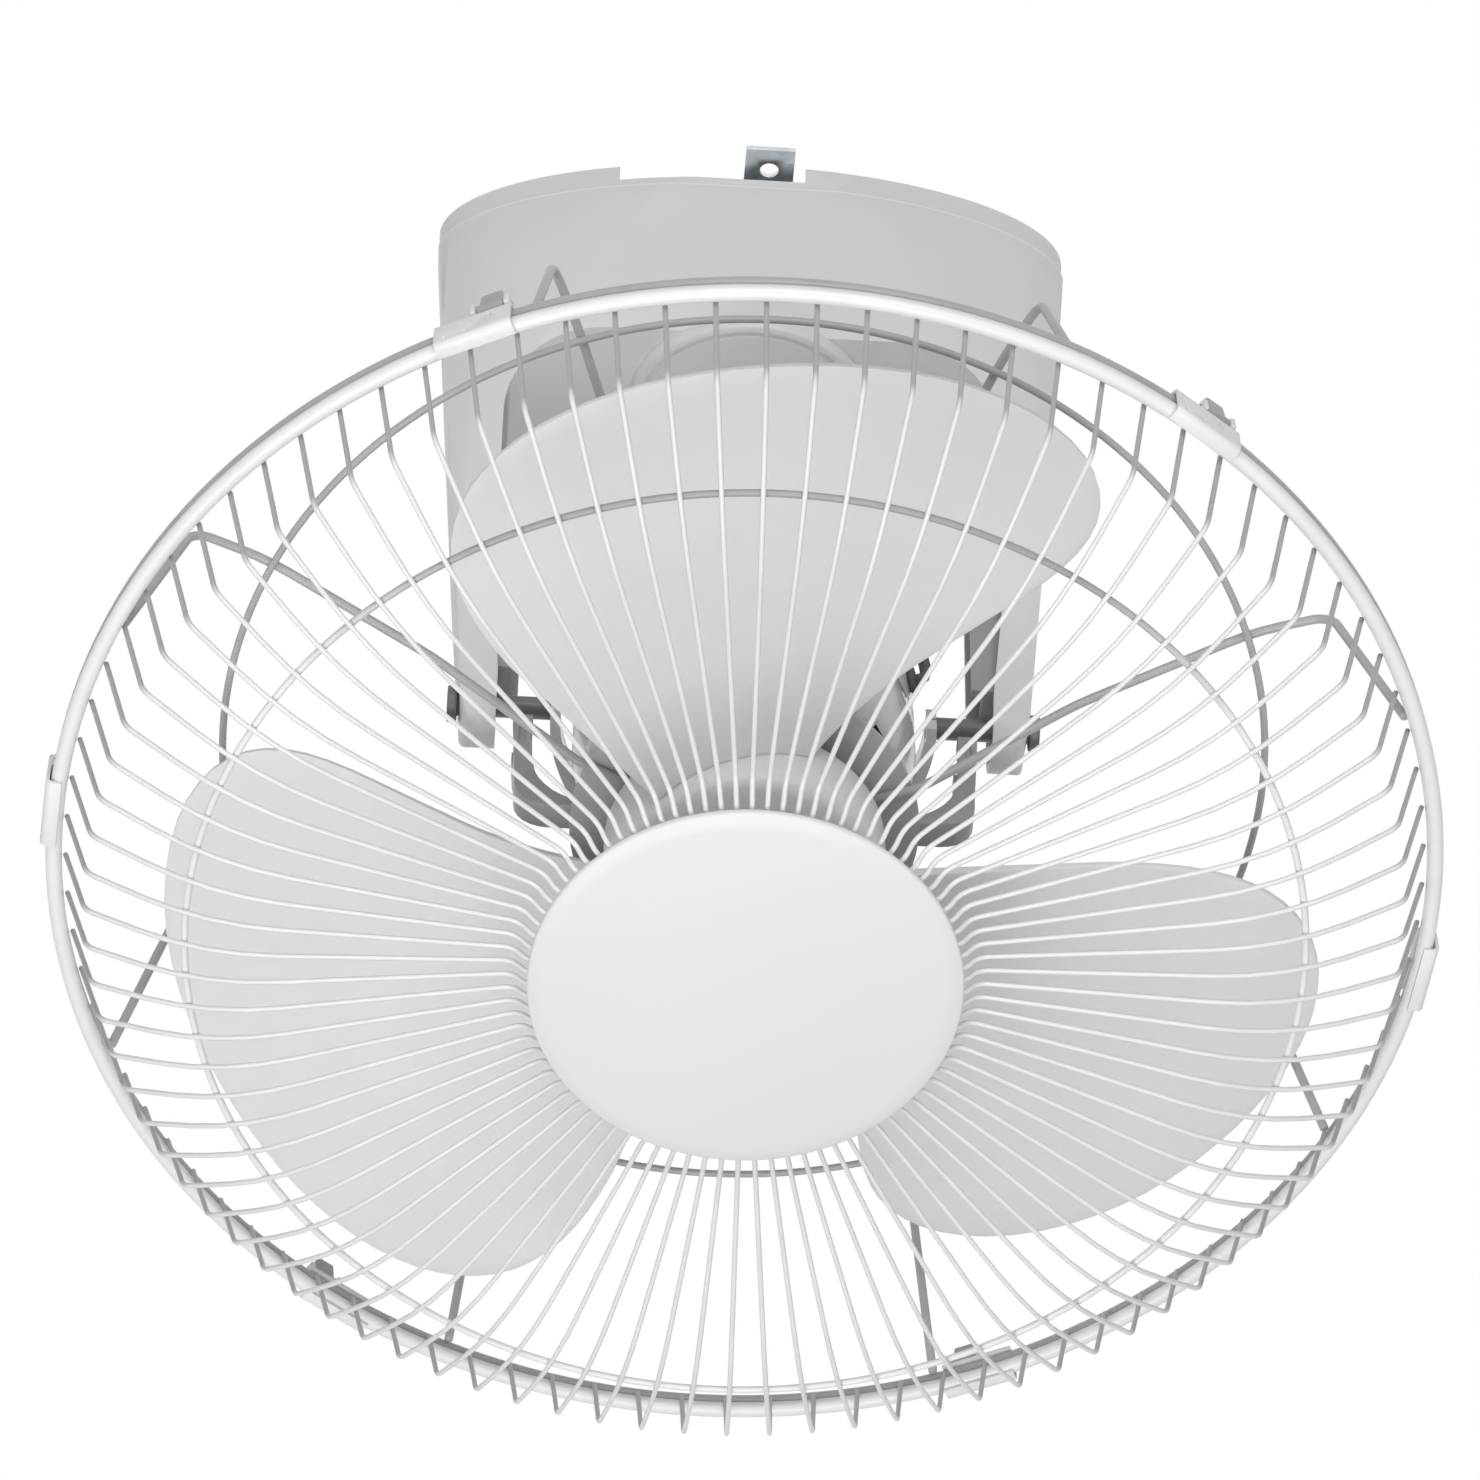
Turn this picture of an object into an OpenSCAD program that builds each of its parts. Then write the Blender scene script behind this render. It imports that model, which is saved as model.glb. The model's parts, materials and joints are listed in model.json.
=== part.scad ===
// Orbital ceiling fan, millimetres, +Z up. The origin is the middle of the ceiling plate's top face,
// so everything hangs below it. X runs from arm to arm and the front of the fan looks along -Y.
// The head hangs in a two-axis gimbal, and a slow crank swings it round a fixed post.

/* [Ceiling plate] */
// Length of the plate along X
plate_w = 170; // [150:1:180]
// Width of the plate along Y
plate_d = 50; // [44:1:60]
// Thickness of the plate
plate_t = 2; // [1.5:0.1:3]
// Distance between the two ceiling screw holes
mount_pitch = 120; // [90:1:130]
// Diameter of the ceiling screw holes
mount_hole_d = 6.5; // [4:0.1:8]
// Diameter of the supply cable hole
cable_hole_d = 18; // [10:1:22]
// Width of the front tab
tab_w = 18.5; // [14:0.5:24]
// How far the front tab reaches from the origin
tab_reach = 55; // [50:1:62]
// Sideways place of the front tab
tab_x = 4; // [-6:1:6]
// Diameter of the hole in the front tab
tab_hole_d = 7; // [4:0.1:9]

/* [Housing] */
// Width of the housing at the ceiling
housing_w = 239; // [234:1:250]
// Depth of the housing at the ceiling
housing_d = 92; // [86:1:100]
// Width over the arms at the tilt pins
arm_span = 200.4; // [199:0.2:208]
// Depth of an arm at its tilt pin
arm_d = 30; // [28:0.5:34]
// Width of an arm at its round end
arm_end_w = 13; // [10.5:0.5:14]
// Wall of the housing
housing_wall = 2.5; // [2:0.1:3]
// Drop from the ceiling to the gimbal centre
pivot_drop = 236; // [225:1:260]
// Height of the lip under the ceiling
lip_h = 10.8; // [6:0.2:14]
// Step behind the lip
lip_step = 0.8; // [0.4:0.1:1.2]
// Width of the front notch
notch_w = 69.5; // [40:0.5:74]
// Height of the front notch
notch_h = 7; // [4:0.5:9]
// Sideways place of the front notch
notch_x = -17; // [-20:1:-12]
// Clear width of the arch between the arms
arch_w = 180.6; // [176:0.2:181]
// Drop from the ceiling to the top of the arch
arch_drop = 80; // [72:1:86]
// Corner radius of the arch
arch_bend = 38; // [25:1:45]
// Height of the housing's side screws above the gimbal centre
side_screw_rise = 170; // [160:1:180]

/* [Yoke and post] */
// Thickness of the yoke strap
yoke_t = 3; // [2.5:0.1:3.4]
// Depth of the ribs inside the yoke arms
rib_reach = 12; // [8:0.5:12.5]
// Thickness of the yoke ribs
rib_t = 3; // [2:0.1:4]
// Diameter of the round boss under the housing
boss_d = 89; // [70:1:100]
// Height of the round boss
boss_h = 5.2; // [3:0.1:8]
// Diameter of the fixed post
post_d = 14; // [12:0.5:18]
// Height of the post's lower end above the gimbal centre
post_end = 99; // [98:0.5:106]

/* [Gimbal] */
// Tilt of the head from straight down, as photographed
head_tilt = 14.5; // [8:0.5:15]
// Diameter of the tilt pins
tilt_pin_d = 8; // [6:0.5:9]
// Diameter of the roll pin
roll_pin_d = 10; // [8:0.5:11]
// Running clearance on the radius of a pin
pin_clear = 0.05; // [0.02:0.01:0.1]
// Inside radius of the half ring
ring_in_r = 64.5; // [64:0.1:65]
// Thickness of the half ring
ring_t = 3.6; // [3.4:0.1:7.4]
// Height of the half ring
ring_h = 12; // [10:0.5:13]

/* [Motor] */
// Outside diameter of the motor shell
motor_d = 120; // [114:0.5:120]
// Wall of the motor shell
shell_t = 3; // [2:0.1:4]
// Length of the stator stack
stack_h = 40; // [30:1:44]
// Diameter of the rotor
rotor_d = 52; // [46:0.5:54]
// Air gap on the radius
air_gap = 0.5; // [0.3:0.1:0.8]
// Diameter of the fan shaft
shaft_d = 8; // [7:0.1:9]
// Outside diameter of the shaft bearings
bearing_d = 22; // [20:0.5:24]
// Width of the shaft bearings
bearing_w = 7; // [6:0.5:8]
// Width of the head cradle
cradle_d = 22; // [20:0.5:26]
// Width of a cradle arm at its foot
cradle_foot_d = 10; // [8:0.5:14]
// Thickness of the cradle arms
cradle_t = 7; // [5:0.5:7]

/* [Orbit drive] */
// Diameter of the orbit motor
orbit_motor_d = 50; // [44:1:52]
// Thickness of the orbit motor
orbit_motor_h = 18; // [14:0.5:19]
// Diameter of the orbit motor's shaft
orbit_shaft_d = 7; // [6:0.1:8]
// Diameter of the crank ball
ball_d = 9; // [7:0.5:10]
// Gap between the crank ball and the fixed socket
ball_gap = 1; // [0.6:0.1:2]
// Thickness of the crank arm
crank_t = 5; // [4:0.5:6]

/* [Guard] */
// Outside radius of the guard
guard_r = 235; // [225:1:240]
// Distance from the gimbal centre to the front rim
rim_a = 103; // [100:0.5:108]
// Diameter of the front rim
front_rim_d = 5.6; // [4:0.1:6]
// Diameter of the rear rim
rear_rim_d = 4.4; // [3:0.1:5]
// Number of front wires
front_wires = 90; // [60:2:100]
// Thickness of a front wire
front_wire_d = 1.8; // [1.4:0.1:2.2]
// Thickness of a rear wire
rear_wire_d = 3.2; // [2.6:0.1:4]
// Diameter of the front guard's middle and inner rings
front_ring_d = 2.4; // [2:0.1:3]
// Diameter of the rear guard's ring
rear_ring_d = 2.6; // [2.2:0.1:3.6]
// Radius of the front guard's middle ring
middle_ring_r = 185; // [170:1:192]
// Radius of the front guard's inner ring
inner_ring_r = 64; // [58:0.5:66]
// Radius of the rear guard's ring
rear_ring_r = 181; // [170:1:188]
// Diameter of the badge
badge_d = 143.8; // [140:0.2:150]
// Rise of the badge's crown
badge_crown = 5; // [3:0.5:8]
// Length of a guard clip
clip_w = 26; // [25:0.5:30]

/* [Blades] */
// Radius of the blade tips
blade_r = 202; // [190:1:206]
// Radius of the fan hub
hub_r = 48; // [44:0.5:52]
// Thickness of a blade
blade_t = 2; // [1.4:0.1:3]
// Rise of a blade along a full radian at the hub
hub_pitch = 16; // [10:0.5:17]
// Rise of a blade along a full radian at the tip
tip_pitch = 36; // [24:0.5:40]

/* [Hidden] */
$fn = 64;

eps = 0.05;            // gap left where two pieces touch
seam = 0.3;            // gap left where a piece only rests near another
through = 200;         // longer than anything that is cut through

// Colours
zinc = [0.62, 0.66, 0.68];
shell_grey = [0.76, 0.76, 0.75];
dark_grey = [0.36, 0.36, 0.35];
motor_grey = [0.70, 0.73, 0.74];
blade_white = [0.86, 0.87, 0.86];
wire_white = [0.90, 0.91, 0.90];
steel = [0.60, 0.61, 0.63];
copper = [0.72, 0.42, 0.20];
nylon = [0.92, 0.91, 0.86];
black = [0.10, 0.10, 0.10];

// Yoke, bridge and post
side_slope = (housing_w - arm_span) / (2 * pivot_drop);
yoke_gap = 2.8;
yoke_d = arm_d - 2 * (housing_wall + lip_step) - 0.8;
yoke_in_x = arm_span / 2 - housing_wall - yoke_gap - yoke_t;
yoke_top = -plate_t - eps;
yoke_end_rise = 3;
plate_screw_x = yoke_in_x - 13.9;
rib_high = -arch_drop - arch_bend - 14;
rib_step = 24;
band_low = -arch_drop - 0.7 * arch_bend;
web_top = -arch_drop + housing_wall;
bridge_t = 2.5;
bridge_lug = 16;
thread_d = 10;
nut_h = 8;
socket_h = 13;
socket_d = 22;
fitting_gap = 20;
fitting_low = web_top + bridge_t + 2 * eps;
terminal_w = 42;
terminal_h = 16;
ways = 4;
capacitor_w = 44;
capacitor_h = 30;
arm_r = arm_d / 2;
end_curve = [8, 13];
end_taper = [4, 40];
bush_d = tilt_pin_d + 4;
bush_flange_d = bush_d + 4;
bush_flange_t = 1.5;
rib_low = -pivot_drop + bush_flange_d / 2 + 1;
screw_d = 4;

// Gimbal
ring_out_r = ring_in_r + ring_t;
ring_back = 4;
roll_boss_d = roll_pin_d + 10;
roll_boss_end = ring_out_r + 13;
roll_seat_end = sqrt(pow(ring_in_r, 2) - pow(roll_boss_d / 2 + 1, 2)) - seam;
pin_head_d = 13;
pin_head_h = 3.5;

// Motor, with distances along the fan axis from the gimbal centre
motor_r = motor_d / 2;
shell_in_r = motor_r - shell_t;
cover_split = 14;
cover_rear = -44;
cover_front = 51;
nose_r = bearing_d / 2 + 7;
nose_end = 61;
flange_front = 65;
vents = 18;
vent_turn = 9.3;
vent_w = 9;
flange_t = 3;
flange_r = 50;
flange_in_r = 46;
mount_r = 40;
stud_r = 4.5;
coil_r = [30.5, 46];
slots = 12;
slot_w = 6;
coil_end = stack_h / 2 + 9;
crank_at = post_end - ball_d / 2 - ball_gap;
ball_a = -crank_at * cos(head_tilt);
crank_r = crank_at * sin(head_tilt);
crank_a = ball_a + ball_d / 2 + 1;
orbit_back = -cover_rear + 16;
orbit_stud_r = 38;
lead_end_a = -orbit_back - 0.4 * orbit_motor_h;
cradle_x = 81;
cradle_in_x = cradle_x - cradle_t;
cradle_top = 20;
cradle_shoulder = 14;
cradle_taper = 12;
cradle_curve = [22, 26];
cradle_heel = 12;
cradle_slot = tilt_pin_d + 2.4;

// Guard
rear_rim_r = guard_r - rear_rim_d / 2 - 0.2;
rear_rim_a = rim_a - front_rim_d / 2 - rear_rim_d / 2 - 0.12;
rim_c = guard_r - front_rim_d / 2;
front_seat_r = rim_c - front_rim_d / 2 - front_wire_d / 2 - 0.15;
badge_rise = 54;
badge_a = rim_a + badge_rise;
badge_r = badge_d / 2;
wire_tail = 2;
shoulder_in = 16;
shoulder_rise = 28.6;
dome_r = 178;
dome_rise = 50;
dish_out = 5.1;
dish_rise = 44.5;
plate_low = badge_a - 2.2;
plate_run_a = plate_low - front_wire_d / 2 - eps;
badge_low = badge_a - 1 + eps;
front_path = [
    [front_seat_r, rim_a - wire_tail], [guard_r - shoulder_in, rim_a + shoulder_rise],
    [dome_r, rim_a + dome_rise], [badge_r + dish_out, rim_a + dish_rise],
    [badge_r + 0.1, plate_run_a], [inner_ring_r - front_ring_d, plate_run_a]
];
front_bends = [0, 8, 90, 7, 6, 0];
dome_in = unit(front_path[1] - front_path[2]);
dome_out = unit(front_path[3] - front_path[2]);
dome_half = acos(dome_in * dome_out) / 2;
dome_centre = front_path[2] + unit(dome_in + dome_out) * front_bends[2] / sin(dome_half);
ring_drop = front_wire_d / 2 + front_ring_d / 2 + eps;
dome_ring_r = front_bends[2] - ring_drop;
middle_ring_a = dome_centre.y + sqrt(pow(dome_ring_r, 2) - pow(middle_ring_r - dome_centre.x, 2));
inner_ring_a = plate_run_a - ring_drop;
guard_hub_t = 2;
guard_hub_a = flange_front + eps;
guard_hub_r = 60;
rear_wires = 8;
rear_wire_turn = 21;
rear_seat_r = rear_rim_r - rear_rim_d / 2 - rear_wire_d / 2 - 0.25;
rear_start_a = guard_hub_a + guard_hub_t + rear_wire_d / 2 + eps;
rear_wire_in_r = 46;
rear_fall = [120, 43.4];
rear_dip_a = 27.6;
rear_heel_in = 25;
rear_heel_a = 29.6;
rear_path = [
    [rear_wire_in_r, rear_start_a], [guard_hub_r + 3, rear_start_a], rear_fall,
    [rear_ring_r + 2, rear_dip_a], [guard_r - rear_heel_in, rear_heel_a], [rear_seat_r, rear_rim_a + 1]
];
rear_bends = [0, 12, 60, 60, 10, 0];
dip = unit(rear_path[2] - rear_path[3]);
climb = unit(rear_path[4] - rear_path[3]);
dip_half = acos(dip * climb) / 2;
dip_centre = rear_path[3] + unit(dip + climb) * rear_bends[3] / sin(dip_half);
rear_ring_c = rear_bends[3] - rear_wire_d / 2 - rear_ring_d / 2 - eps;
rear_ring_a = dip_centre.y - sqrt(pow(rear_ring_c, 2) - pow(rear_ring_r - dip_centre.x, 2));
clips = 6;
clip_turn = -5;
clip_t = 1.2;
lever_r = guard_r - 1;
lever_a = rear_rim_a - rear_rim_d / 2 - clip_t - 2.7;
lever_w = 9;
lever_y = -5.5;
lever_h = 9;
lever_t = 2.2;
lever_pin_d = 2.4;
lever_barrel_d = 4.4;
lug_t = 2;

// Fan hub and blades
hub_rear = 76;
hub_front = 104;
hub_wall = 3;
nut_r = 14;
nut_front = 118;
blades = 3;
blade_turn = 89;
blade_mid = 90;
blade_tip_mid = 95;
lead_half = 43.5;
trail_root = 23;
trail_tip = 54;
camber = 5;
blade_cols = 18;
blade_rows = 6;
lead_power = 4;
trail_power = 3;
blade_edge = 0.985;

// ---- Helpers ----
function unit(v) = v / norm(v);
function normal(v) = [-v.y, v.x] / norm(v);
function mix(a, b, t) = a + (b - a) * t;

// Points round a corner at q of a path from p to r
function corner(p, q, r, bend) =
    let (u = unit(p - q), v = unit(r - q), half = acos(u * v) / 2, cut = bend / tan(half),
         centre = q + unit(u + v) * bend / sin(half), a = q + u * cut - centre,
         b = q + v * cut - centre, sweep = acos(min(1, a * b / (bend * bend))),
         steps = max(2, ceil(sweep / min(18, 50 / sqrt(bend)))), side = sign(a.x * b.y - a.y * b.x))
    [for (i = [0:steps]) let (t = side * sweep * i / steps)
        centre + [a.x * cos(t) - a.y * sin(t), a.x * sin(t) + a.y * cos(t)]];

// A path with its inner corners rounded
function rounded(pts, bends) = [
    pts[0],
    for (i = [1:len(pts) - 2]) each corner(pts[i - 1], pts[i], pts[i + 1], bends[i]),
    pts[len(pts) - 1]
];

// The line at distance w beside a path
function beside(p, w) = [
    for (i = [0:len(p) - 1])
        let (next = normal(p[min(i + 1, len(p) - 1)] - p[min(i, len(p) - 2)]),
             last = normal(p[max(i, 1)] - p[max(i, 1) - 1]), mid = unit(next + last))
        p[i] + w * mid / (mid * next)
];
function reversed(p) = [for (i = [len(p) - 1:-1:0]) p[i]];

// A bar of thickness t and width w that follows a path in the XZ plane
module bent_bar(pts, bends, t, w) {
    path = rounded(pts, bends);
    rotate([90, 0, 0]) translate([0, 0, -w / 2])
        linear_extrude(w) polygon(concat(beside(path, t / 2), reversed(beside(path, -t / 2))));
}

// Frames: the gimbal centre, the tilted half ring, and the head with +Z along the fan axis
module at_pivot() translate([0, 0, -pivot_drop]) children();
module gimbal_frame() at_pivot() rotate([-head_tilt, 0, 0]) children();
module head_frame() gimbal_frame() rotate([180, 0, 0]) children();
module both_arms() for (side = [0, 1]) mirror([side, 0, 0]) children();
module around(count, start = 0) for (i = [0:count - 1])
    rotate([0, 0, start + i * 360 / count]) children();
module wire_ring(radius, a, d) translate([0, 0, a]) rotate_extrude() translate([radius, 0]) circle(d = d);
module tube(h, r, bore) difference() {
    cylinder(h = h, r = r);
    translate([0, 0, -1]) cylinder(h = h + 2, r = bore);
}
module along_x() rotate([0, 90, 0]) children();
// Turns +Z towards the back of the fan
module along_y() rotate([-90, 0, 0]) children();

// ---- Ceiling side ----
module ceiling_plate() color(zinc) difference() {
    union() {
        translate([-plate_w / 2, -plate_d / 2, -plate_t]) cube([plate_w, plate_d, plate_t]);
        translate([tab_x - tab_w / 2, -tab_reach, -plate_t])
            cube([tab_w, tab_reach - plate_d / 2 + 1, plate_t]);
    }
    both_arms() translate([mount_pitch / 2, 0, -through / 2]) cylinder(h = through, d = mount_hole_d);
    translate([0, 0, -through / 2]) cylinder(h = through, d = cable_hole_d);
    both_arms() translate([plate_screw_x, 0, -through / 2])
        cylinder(h = through, d = screw_d + 0.5);
    translate([tab_x, -tab_reach + tab_w / 2 + 1, -through / 2]) cylinder(h = through, d = tab_hole_d);
}

// The yoke strap, seen from the front
module yoke_strap() {
    x = yoke_in_x + yoke_t / 2;
    low = -pivot_drop - yoke_d / 2;
    top = yoke_top - yoke_t / 2;
    bent_bar([[-x, low], [-x, top], [x, top], [x, low]], [0, 8, 8, 0], yoke_t, yoke_d);
}
module yoke_frame() color(dark_grey) difference() {
    union() {
        intersection() {
            yoke_strap();
            union() {
                translate([-through, -yoke_d / 2, -pivot_drop + yoke_end_rise])
                    cube([2 * through, yoke_d, pivot_drop]);
                at_pivot() translate([-through, 0, yoke_end_rise]) along_x()
                    cylinder(h = 2 * through, d = yoke_d);
            }
        }
        both_arms() yoke_ribs();
    }
    at_pivot() translate([-through, 0, 0]) along_x() cylinder(h = 2 * through, d = bush_d + 0.1);
    both_arms() translate([mount_pitch / 2, 0, -through / 2 - 5])
        cylinder(h = through / 2, d = mount_hole_d + 6);
    both_arms() translate([mount_pitch / 2, 0, yoke_top - yoke_t - 1])
        cylinder(h = yoke_t + 2, d = mount_hole_d + 6);
    translate([0, 0, yoke_top - yoke_t - 1]) cylinder(h = yoke_t + 2, d = cable_hole_d + 2);
    both_arms() translate([plate_screw_x, 0, yoke_top - yoke_t - 1])
        cylinder(h = yoke_t + 2, d = screw_d + 0.5);
    both_arms() side_screw_place() translate([0, 0, -20]) cylinder(h = 24, d = screw_d + 0.2);
}
// Ribs that stiffen one arm on its inner side
module yoke_ribs() {
    x = yoke_in_x - rib_reach;
    for (y = [-yoke_d / 2, yoke_d / 2 - rib_t])
        translate([x, y, rib_low]) cube([rib_reach + 1, rib_t, rib_high - rib_low]);
    for (z = [rib_low:rib_step:rib_high - rib_t])
        translate([x + 4, -yoke_d / 2, z]) cube([rib_reach - 3, yoke_d, rib_t]);
}
module yoke_screws() color(steel) both_arms() translate([plate_screw_x, 0, 0]) {
    translate([0, 0, yoke_top - yoke_t - eps - 3]) cylinder(h = 3, d = 2 * screw_d);
    translate([0, 0, yoke_top - yoke_t - 1]) cylinder(h = yoke_t + 1 + plate_t, d = screw_d);
}

// Outer form of the housing, drawn in by a wall: a front view, a side view and an oval plan
module housing_form(inset) intersection() {
    rotate([90, 0, 0]) translate([0, 0, -through / 2]) linear_extrude(through) front_view(inset);
    rotate([90, 0, 90]) translate([0, 0, -through]) linear_extrude(2 * through) side_view(inset);
    translate([0, 0, -pivot_drop - arm_r]) linear_extrude(pivot_drop + arm_r)
        polygon([for (t = [0:4:356]) [(housing_w / 2 - inset) * cos(t), (housing_d / 2 - inset) * sin(t)]]);
}
module front_view(inset) {
    centre = [arm_span / 2 - end_curve.x, -pivot_drop - arm_r + end_curve.y];
    side = concat([[housing_w / 2 - inset, 0]], [for (t = [0:15:90]) centre
        + [(end_curve.x - inset) * cos(t), -(end_curve.y - inset) * sin(t)]]);
    polygon(concat(side, [for (i = [len(side) - 1:-1:0]) [-side[i].x, side[i].y]]));
}
module side_view(inset) {
    polygon([
        [-housing_d / 2 + inset, 0], [-arm_r + inset, -pivot_drop], [arm_r - inset, -pivot_drop],
        [housing_d / 2 - inset, 0]
    ]);
    translate([0, -pivot_drop]) circle(r = arm_r - inset);
}
// The arch between the arms, grown by a wall
module arch_view(grow) {
    x = arch_w / 2 + grow;
    bend = arch_bend + grow;
    top = -arch_drop + grow;
    low = -pivot_drop - through / 2;
    for (s = [-1, 1]) translate([s * (x - bend), top - bend]) circle(r = bend);
    translate([-x, low]) square([2 * x, top - bend - low]);
    translate([-x + bend, low]) square([2 * (x - bend), top - low]);
}
// The inner edge of an arm, where it widens towards its round end
module arm_lip() polygon([
    [arm_span / 2 - arm_end_w, -pivot_drop - through], [arm_span / 2 - arm_end_w, -pivot_drop + end_taper.x],
    [arch_w / 2, -pivot_drop + end_taper.y], [arch_w / 2 + 1, -pivot_drop - through]
]);
module housing_room() difference() {
    rotate([90, 0, 0]) translate([0, 0, -through / 2]) linear_extrude(through) difference() {
        front_view(housing_wall + lip_step);
        intersection() {
            arch_view(housing_wall);
            translate([-through, band_low]) square([2 * through, through]);
        }
    }
}
module housing() color(shell_grey) difference() {
    union() {
        difference() {
            housing_form(0);
            difference() {
                translate([-through, -through / 2, -lip_h]) cube([2 * through, through, lip_h + 1]);
                housing_form(lip_step);
            }
            intersection() {
                housing_form(housing_wall + lip_step);
                housing_room();
            }
        }
        both_arms() side_screw_place() side_boss();
    }
    translate([0, 0, eps]) intersection() {
        housing_form(housing_wall + lip_step);
        translate([-through, -through / 2, -lip_h]) cube([2 * through, through, lip_h]);
    }
    rotate([90, 0, 0]) translate([0, 0, -through / 2]) linear_extrude(through) difference() {
        arch_view(0);
        both_arms() arm_lip();
    }
    translate([notch_x - notch_w / 2, -through / 2, -notch_h]) cube([notch_w, through / 2, notch_h + 1]);
    at_pivot() translate([-through, 0, 0]) along_x() cylinder(h = 2 * through, d = tilt_pin_d + 1.5);
    translate([0, 0, -arch_drop - 1]) cylinder(h = housing_wall + 2, d = 2 * post_d + 0.4);
    both_arms() side_screw_place() {
        translate([0, 0, -1]) cylinder(h = 40, d = screw_d + 0.4);
        translate([0, 0, side_depth() - 3]) cylinder(h = 20, d = 2 * screw_d + 1);
    }
}
// Places things on the outside of the yoke arm, pointing out sideways
module side_screw_place()
    translate([yoke_in_x + yoke_t, 0, -pivot_drop + side_screw_rise]) along_x() children();
function side_depth() = arm_span / 2 + side_slope * side_screw_rise - yoke_in_x - yoke_t - 1;
module side_boss() translate([0, 0, eps]) cylinder(h = side_depth() - 0.5, d = 2 * screw_d + 4);
module housing_screws() color(steel) both_arms() side_screw_place() {
    translate([0, 0, side_depth() - 3 + eps]) cylinder(h = 2.4, d = 2 * screw_d);
    translate([0, 0, -yoke_t]) cylinder(h = side_depth() - 1 + yoke_t - 1, d = screw_d);
}

module orbit_boss() color(shell_grey) difference() {
    union() {
        translate([0, 0, -arch_drop - boss_h]) rotate_extrude() polygon([
            [0, 0], [boss_d / 2 - 2.5, 0], [boss_d / 2 - 0.8, 0.8], [boss_d / 2, 2.4],
            [boss_d / 2, boss_h - eps], [0, boss_h - eps]
        ]);
        translate([0, 0, -arch_drop - 1]) cylinder(h = housing_wall + 0.8, r = post_d);
    }
    translate([0, 0, -arch_drop - boss_h - 1]) cylinder(h = through, d = post_d + 0.4);
    translate([0, 0, -arch_drop - boss_h - 1]) tube(1.8, boss_d / 2 - 3.4, boss_d / 2 - 5.4);
}
module orbit_bridge() color(steel) difference() {
    x = yoke_in_x - eps - bridge_t / 2;
    low = web_top + eps + bridge_t / 2;
    bent_bar([[-x, low + bridge_lug], [-x, low], [x, low], [x, low + bridge_lug]], [0, 4, 4, 0],
        bridge_t, yoke_d);
    translate([0, 0, low - bridge_t]) cylinder(h = 2 * bridge_t, d = thread_d + 0.4);
}
module orbit_post() color(steel) {
    shoulder = web_top;
    low = -pivot_drop + post_end + 5;
    translate([0, 0, low]) cylinder(h = shoulder - low, d = post_d);
    translate([0, 0, shoulder - 1]) cylinder(h = bridge_t + nut_h + 4, d = thread_d);
}
module post_nut() color(steel) translate([0, 0, fitting_low])
    difference() {
        cylinder(h = nut_h, d = 1.95 * thread_d, $fn = 6);
        translate([0, 0, -1]) cylinder(h = nut_h + 2, d = thread_d + 0.1);
    }
module post_socket() color(nylon) at_pivot() translate([0, 0, post_end]) difference() {
    cylinder(h = socket_h, d = socket_d);
    translate([0, 0, 5 - eps]) cylinder(h = socket_h, d = post_d + 0.1);
    translate([0, 0, -1]) cylinder(h = 3, d = ball_d + 4);
}
module terminal_block() color(nylon)
    translate([yoke_in_x - fitting_gap - terminal_w, -yoke_d / 2, fitting_low]) difference() {
        cube([terminal_w, yoke_d, terminal_h]);
        for (i = [0:ways - 1]) translate([(i + 0.5) * terminal_w / ways, yoke_d / 2, terminal_h / 2])
            cylinder(h = terminal_h, d = 5);
    }
module capacitor() color(black)
    translate([fitting_gap - yoke_in_x, -yoke_d / 2, fitting_low]) cube([capacitor_w, yoke_d, capacitor_h]);

// ---- Gimbal ----
module tilt_bushes() color(nylon) at_pivot() both_arms() difference() {
    union() {
        translate([yoke_in_x - bush_flange_t - eps, 0, 0]) along_x()
            cylinder(h = bush_flange_t, d = bush_flange_d);
        translate([yoke_in_x - 1, 0, 0]) along_x() cylinder(h = yoke_t + 1, d = bush_d);
    }
    translate([yoke_in_x - 10, 0, 0]) along_x() cylinder(h = 20, d = tilt_pin_d + 2 * pin_clear);
}
module gimbal_fork() color(motor_grey) gimbal_frame() difference() {
    union() {
        difference() {
            translate([0, 0, -ring_h / 2]) tube(ring_h, ring_out_r, ring_in_r);
            translate([-through, -through - ring_back, -through]) cube([2 * through, through, 2 * through]);
        }
        translate([0, ring_in_r + 2, 0]) along_y()
            cylinder(h = roll_boss_end - ring_in_r - 2, d = roll_boss_d);
    }
    translate([-through, 0, 0]) along_x() cylinder(h = 2 * through, d = tilt_pin_d + 0.04);
    translate([0, 0, 0]) along_y() cylinder(h = through, d = roll_pin_d + 4.1);
}
module tilt_pins() color(dark_grey) gimbal_frame() both_arms() {
    head_x = arm_span / 2 + 0.9;
    translate([ring_in_r, 0, 0]) along_x() cylinder(h = head_x - ring_in_r, d = tilt_pin_d);
    translate([head_x - 0.1, 0, 0]) along_x() difference() {
        cylinder(h = pin_head_h, d = pin_head_d);
        translate([0, 0, pin_head_h - 1.2]) cylinder(h = 2, d = 5, $fn = 6);
    }
}
module roll_bush() color(nylon) gimbal_frame() along_y() difference() {
    union() {
        translate([0, 0, roll_seat_end + eps])
            cylinder(h = roll_boss_end - roll_seat_end, d = roll_pin_d + 4);
        translate([0, 0, roll_boss_end + eps]) cylinder(h = 1.5, d = roll_boss_d);
    }
    cylinder(h = through, d = roll_pin_d + 2 * pin_clear);
}
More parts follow.
